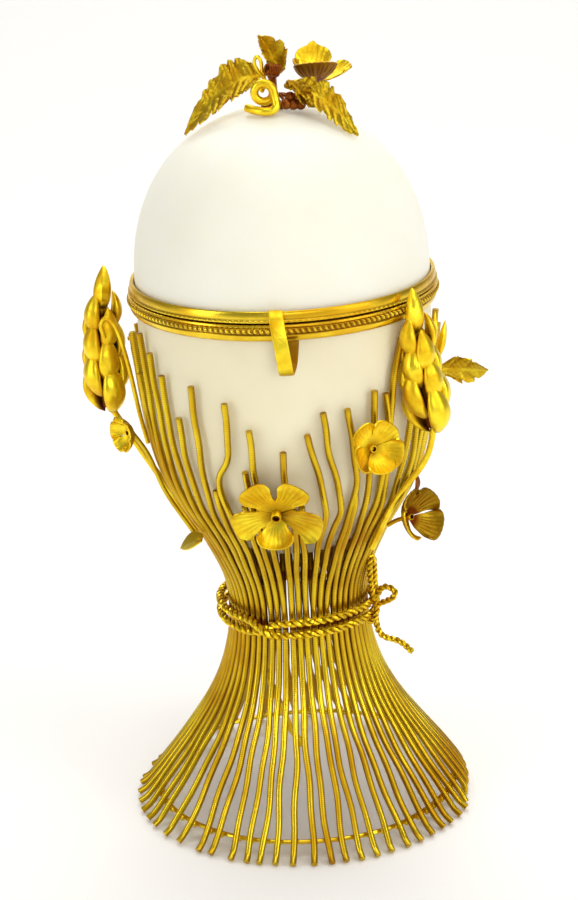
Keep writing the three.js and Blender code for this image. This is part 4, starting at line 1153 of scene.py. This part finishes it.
piece("tendrils", joined([curl, loop]), stamped, "lid", ["lid_tendrils"], sharp=60)

COIL_TURNS, COIL_RADIUS, COIL_WIRE, COIL_STEPS = 6, 1.3, 0.38, 190
turn = np.linspace(0, 2 * np.pi * COIL_TURNS, COIL_STEPS)
rise = np.linspace(0.2, 3.8, COIL_STEPS)
coil_line = np.stack([COIL_RADIUS * np.cos(turn), COIL_RADIUS * np.sin(turn), rise], -1)
coil = moved(tube(coil_line, COIL_WIRE, 7), facing(on_top(1.9, -3.4, 9.8).tolist(), -65, 12))
stem = tube(through([on_top(0, -1.2, 7.5), on_top(1.2, -2.6, 9.4), on_top(0.8, -3.5, 10.0)], 20), 0.6, 8)
piece("wound_coil", joined([coil, stem]), dark_gilt, "lid", ["lid_coil"], sharp=60)
print("turns of the coil:", COIL_TURNS)

# %% [markdown]
# Everything in the bouquet is soldered to a small disc with a post. The berries are small balls on short
# stems, dark under their old lacquer, and a small twisted leaf lies in front of them.

# %% Post and berries
disc = np.array([[0.05, 0.1], [3.2, -0.45], [3.36, -0.2], [3.2, 0.7], [2.4, 1.4], [1.5, 1.8], [1.15, 2.6],
                 [1.05, 7.4], [1.35, 7.9], [1.2, 8.4], [0.05, 8.6]])
post = lathe(lambda azimuth: disc, 36)
post = (post[0] + [0, 0, DOME_TOP], [face[::-1] for face in post[1]])
BERRY_RADIUS = 1.4
berry_places = [(3.2, -5.6, 1.7), (5.0, -5.4, 1.45), (6.8, -4.8, 1.3), (4.2, -4.4, 3.2), (6.0, -4.0, 2.9)]
berries = [ball(on_top(*berry), [BERRY_RADIUS] * 3, 13, 18) for berry in berry_places]
stems = [tube(through([on_top(0, -0.6, 3.4), on_top(x * 0.5, y * 0.55, 3.6), on_top(x, y, z)], 16), 0.4, 7)
         for x, y, z in berry_places]
piece("berries", joined([post, *berries, *stems]), dark_gilt, "lid", ["lid_berries"], sharp=60)
leaf_piece("small_twisted_leaf", None,
           {"length": 10.2, "width": 4.2, "droop": 0.6, "roll": -30, "twist": 120, "teeth": 3, "fold": 0.5,
            "emboss": 0.2}, on_top(3.4, -4.8, 7.2).tolist(), [0.75, -0.24, -0.55], [0, -0.6, 0.8], body="lid",
           darker=0.25)
print("berries:", len(berries))

# %% [markdown]
# A curled strap on the lid's band is the thumb catch that opens the box. It is a rolled strip, so it is a
# flat tube: it leaves the band, hangs in front of the beads and rolls in on itself at its end.

# %% The thumb catch
CATCH_WIDTH, CATCH_THICKNESS, CATCH_SIDES, CATCH_STEPS = 3.7, 0.9, 20, 200
strap_line = [(-2.3, 40.6, 149.4), (-2.2, 41.8, 149.6), (-2, 43.6, 148.2), (-1.6, 44.6, 145), (-1, 45.2, 141),
              (-0.5, 44.9, 137), (-0.2, 43.6, 134.5), (0.2, 42.2, 134.2), (0.8, 41.2, 136), (1.2, 41, 139),
              (1.5, 41.2, 142)]
catch_line = through([(x, -out, z) for x, out, z in strap_line], CATCH_STEPS)


def squared(value):
    """Pushes a round outline towards a rectangle."""
    return np.sign(value) * np.abs(value) ** 0.45


def strip(line, width, thickness):
    """A flat strip along a line, with its width along X."""
    across = np.array([1.0, 0, 0])
    points, faces = tube(line, 1.0, CATCH_SIDES, start=across)
    middle, tangent = (np.repeat(rows, CATCH_SIDES, 0) for rows in (line, unit(np.gradient(line, axis=0))))
    out = unit(np.cross(tangent, across))
    u, v = (points - middle) @ across, np.sum((points - middle) * out, axis=1)
    flat = middle + np.outer(squared(u) * width / 2, across) + out * (squared(v) * thickness / 2)[:, None]
    return flat, faces


# The end that rolls in behind the strap is darker: painted shade, partly patina.
inner = np.repeat(np.clip((np.arange(CATCH_STEPS) - 115) / 30, 0, 1), CATCH_SIDES)
strap = strip(catch_line, CATCH_WIDTH, CATCH_THICKNESS)
stamped_piece("thumb_catch_strap", "thumb_catch", strap, inner * 0.8, body="lid")
print("length of the strap in mm:", round(length_of(catch_line), 1))

# %% [markdown]
# The hinge at the back can't be seen in the photograph, but the catch in front tells that there is one.
# Its knuckles are rolled from sheet, two on the lower band and one on the lid between them, on one pin.
# The solid model has their right shape already, so they stay and only get the metal of the bands.

# %% Hinge finish
HINGE_NODES = ("hinge_base", "hinge_pin", "hinge_lid")
for node in HINGE_NODES:
    part = bpy.data.objects[node]
    part.data.materials.clear()
    part.data.materials.append(polished)
print("hinge parts in band gilt:", len(HINGE_NODES))

# %% [markdown]
# The floor is one pale sheet that rises behind the box in a wide curve, so there is no horizon. It belongs
# to the studio and not to the object.

# %% Floor and backdrop
def studio_sheet():
    turn = np.linspace(0, np.pi / 2, 24)
    profile = np.vstack([[[-1.6, 0.0]], np.stack([0.8 + 0.7 * np.sin(turn), 0.7 - 0.7 * np.cos(turn)], -1),
                         [[1.5, 2.4]]])
    width = 2.4
    points = [(x, y, z) for y, z in profile.tolist() for x in (-width, width)]
    faces = [(2 * i, 2 * i + 1, 2 * i + 3, 2 * i + 2) for i in range(len(profile) - 1)]
    mesh = bpy.data.meshes.new("studio_sheet")
    mesh.from_pydata(points, [], faces)
    mesh.shade_smooth()
    paper, tree, shader = new_material("pale_paper")
    feed(tree, shader, {"Base Color": (0.93, 0.92, 0.9, 1), "Roughness": 0.85})
    mesh.materials.append(paper)
    ground = bpy.data.objects.new("studio_sheet", mesh)
    bpy.context.scene.collection.objects.link(ground)
    return ground


studio_sheet()
print("studio sheet is stage")

# %% [markdown]
# Shiny metal shows its surroundings, so the light is made of large soft panels. The one overhead gives the
# long highlights, the one behind lights the paper, and those at the right, the left and in front fill the
# shadows. A faint warm world keeps the gaps from going black.

# %% Light
LIT_PLACE = Vector((0, 0, 0.11))


def panel(name, place, size, power):
    data = bpy.data.lights.new(name, "AREA")
    data.shape, data.size, data.size_y = "RECTANGLE", size[0], size[1]
    data.energy = power
    lamp = bpy.data.objects.new(name, data)
    lamp.location = place
    aim = LIT_PLACE - Vector(place)
    lamp.rotation_euler = aim.to_track_quat("-Z", "Y").to_euler()
    bpy.context.scene.collection.objects.link(lamp)


panel("panel_above", (0.15, -0.05, 1.1), (1.1, 0.9), 5.2)
panel("panel_behind", (0.0, 1.0, 1.3), (1.8, 0.8), 13.0)
panel("panel_right", (0.8, -0.6, 0.5), (0.35, 0.9), 3.4)
panel("panel_left", (-0.85, -0.45, 0.4), (0.35, 0.9), 2.6)
panel("panel_front", (0.2, -1.25, 0.6), (0.6, 0.45), 3.5)
world = bpy.data.worlds.new("studio")
world.use_nodes = True
feed(world.node_tree, world.node_tree.nodes["Background"], {"Color": (1.0, 0.975, 0.94, 1), "Strength": 0.29})
bpy.context.scene.world = world
bpy.context.scene.view_settings.view_transform = "Standard"
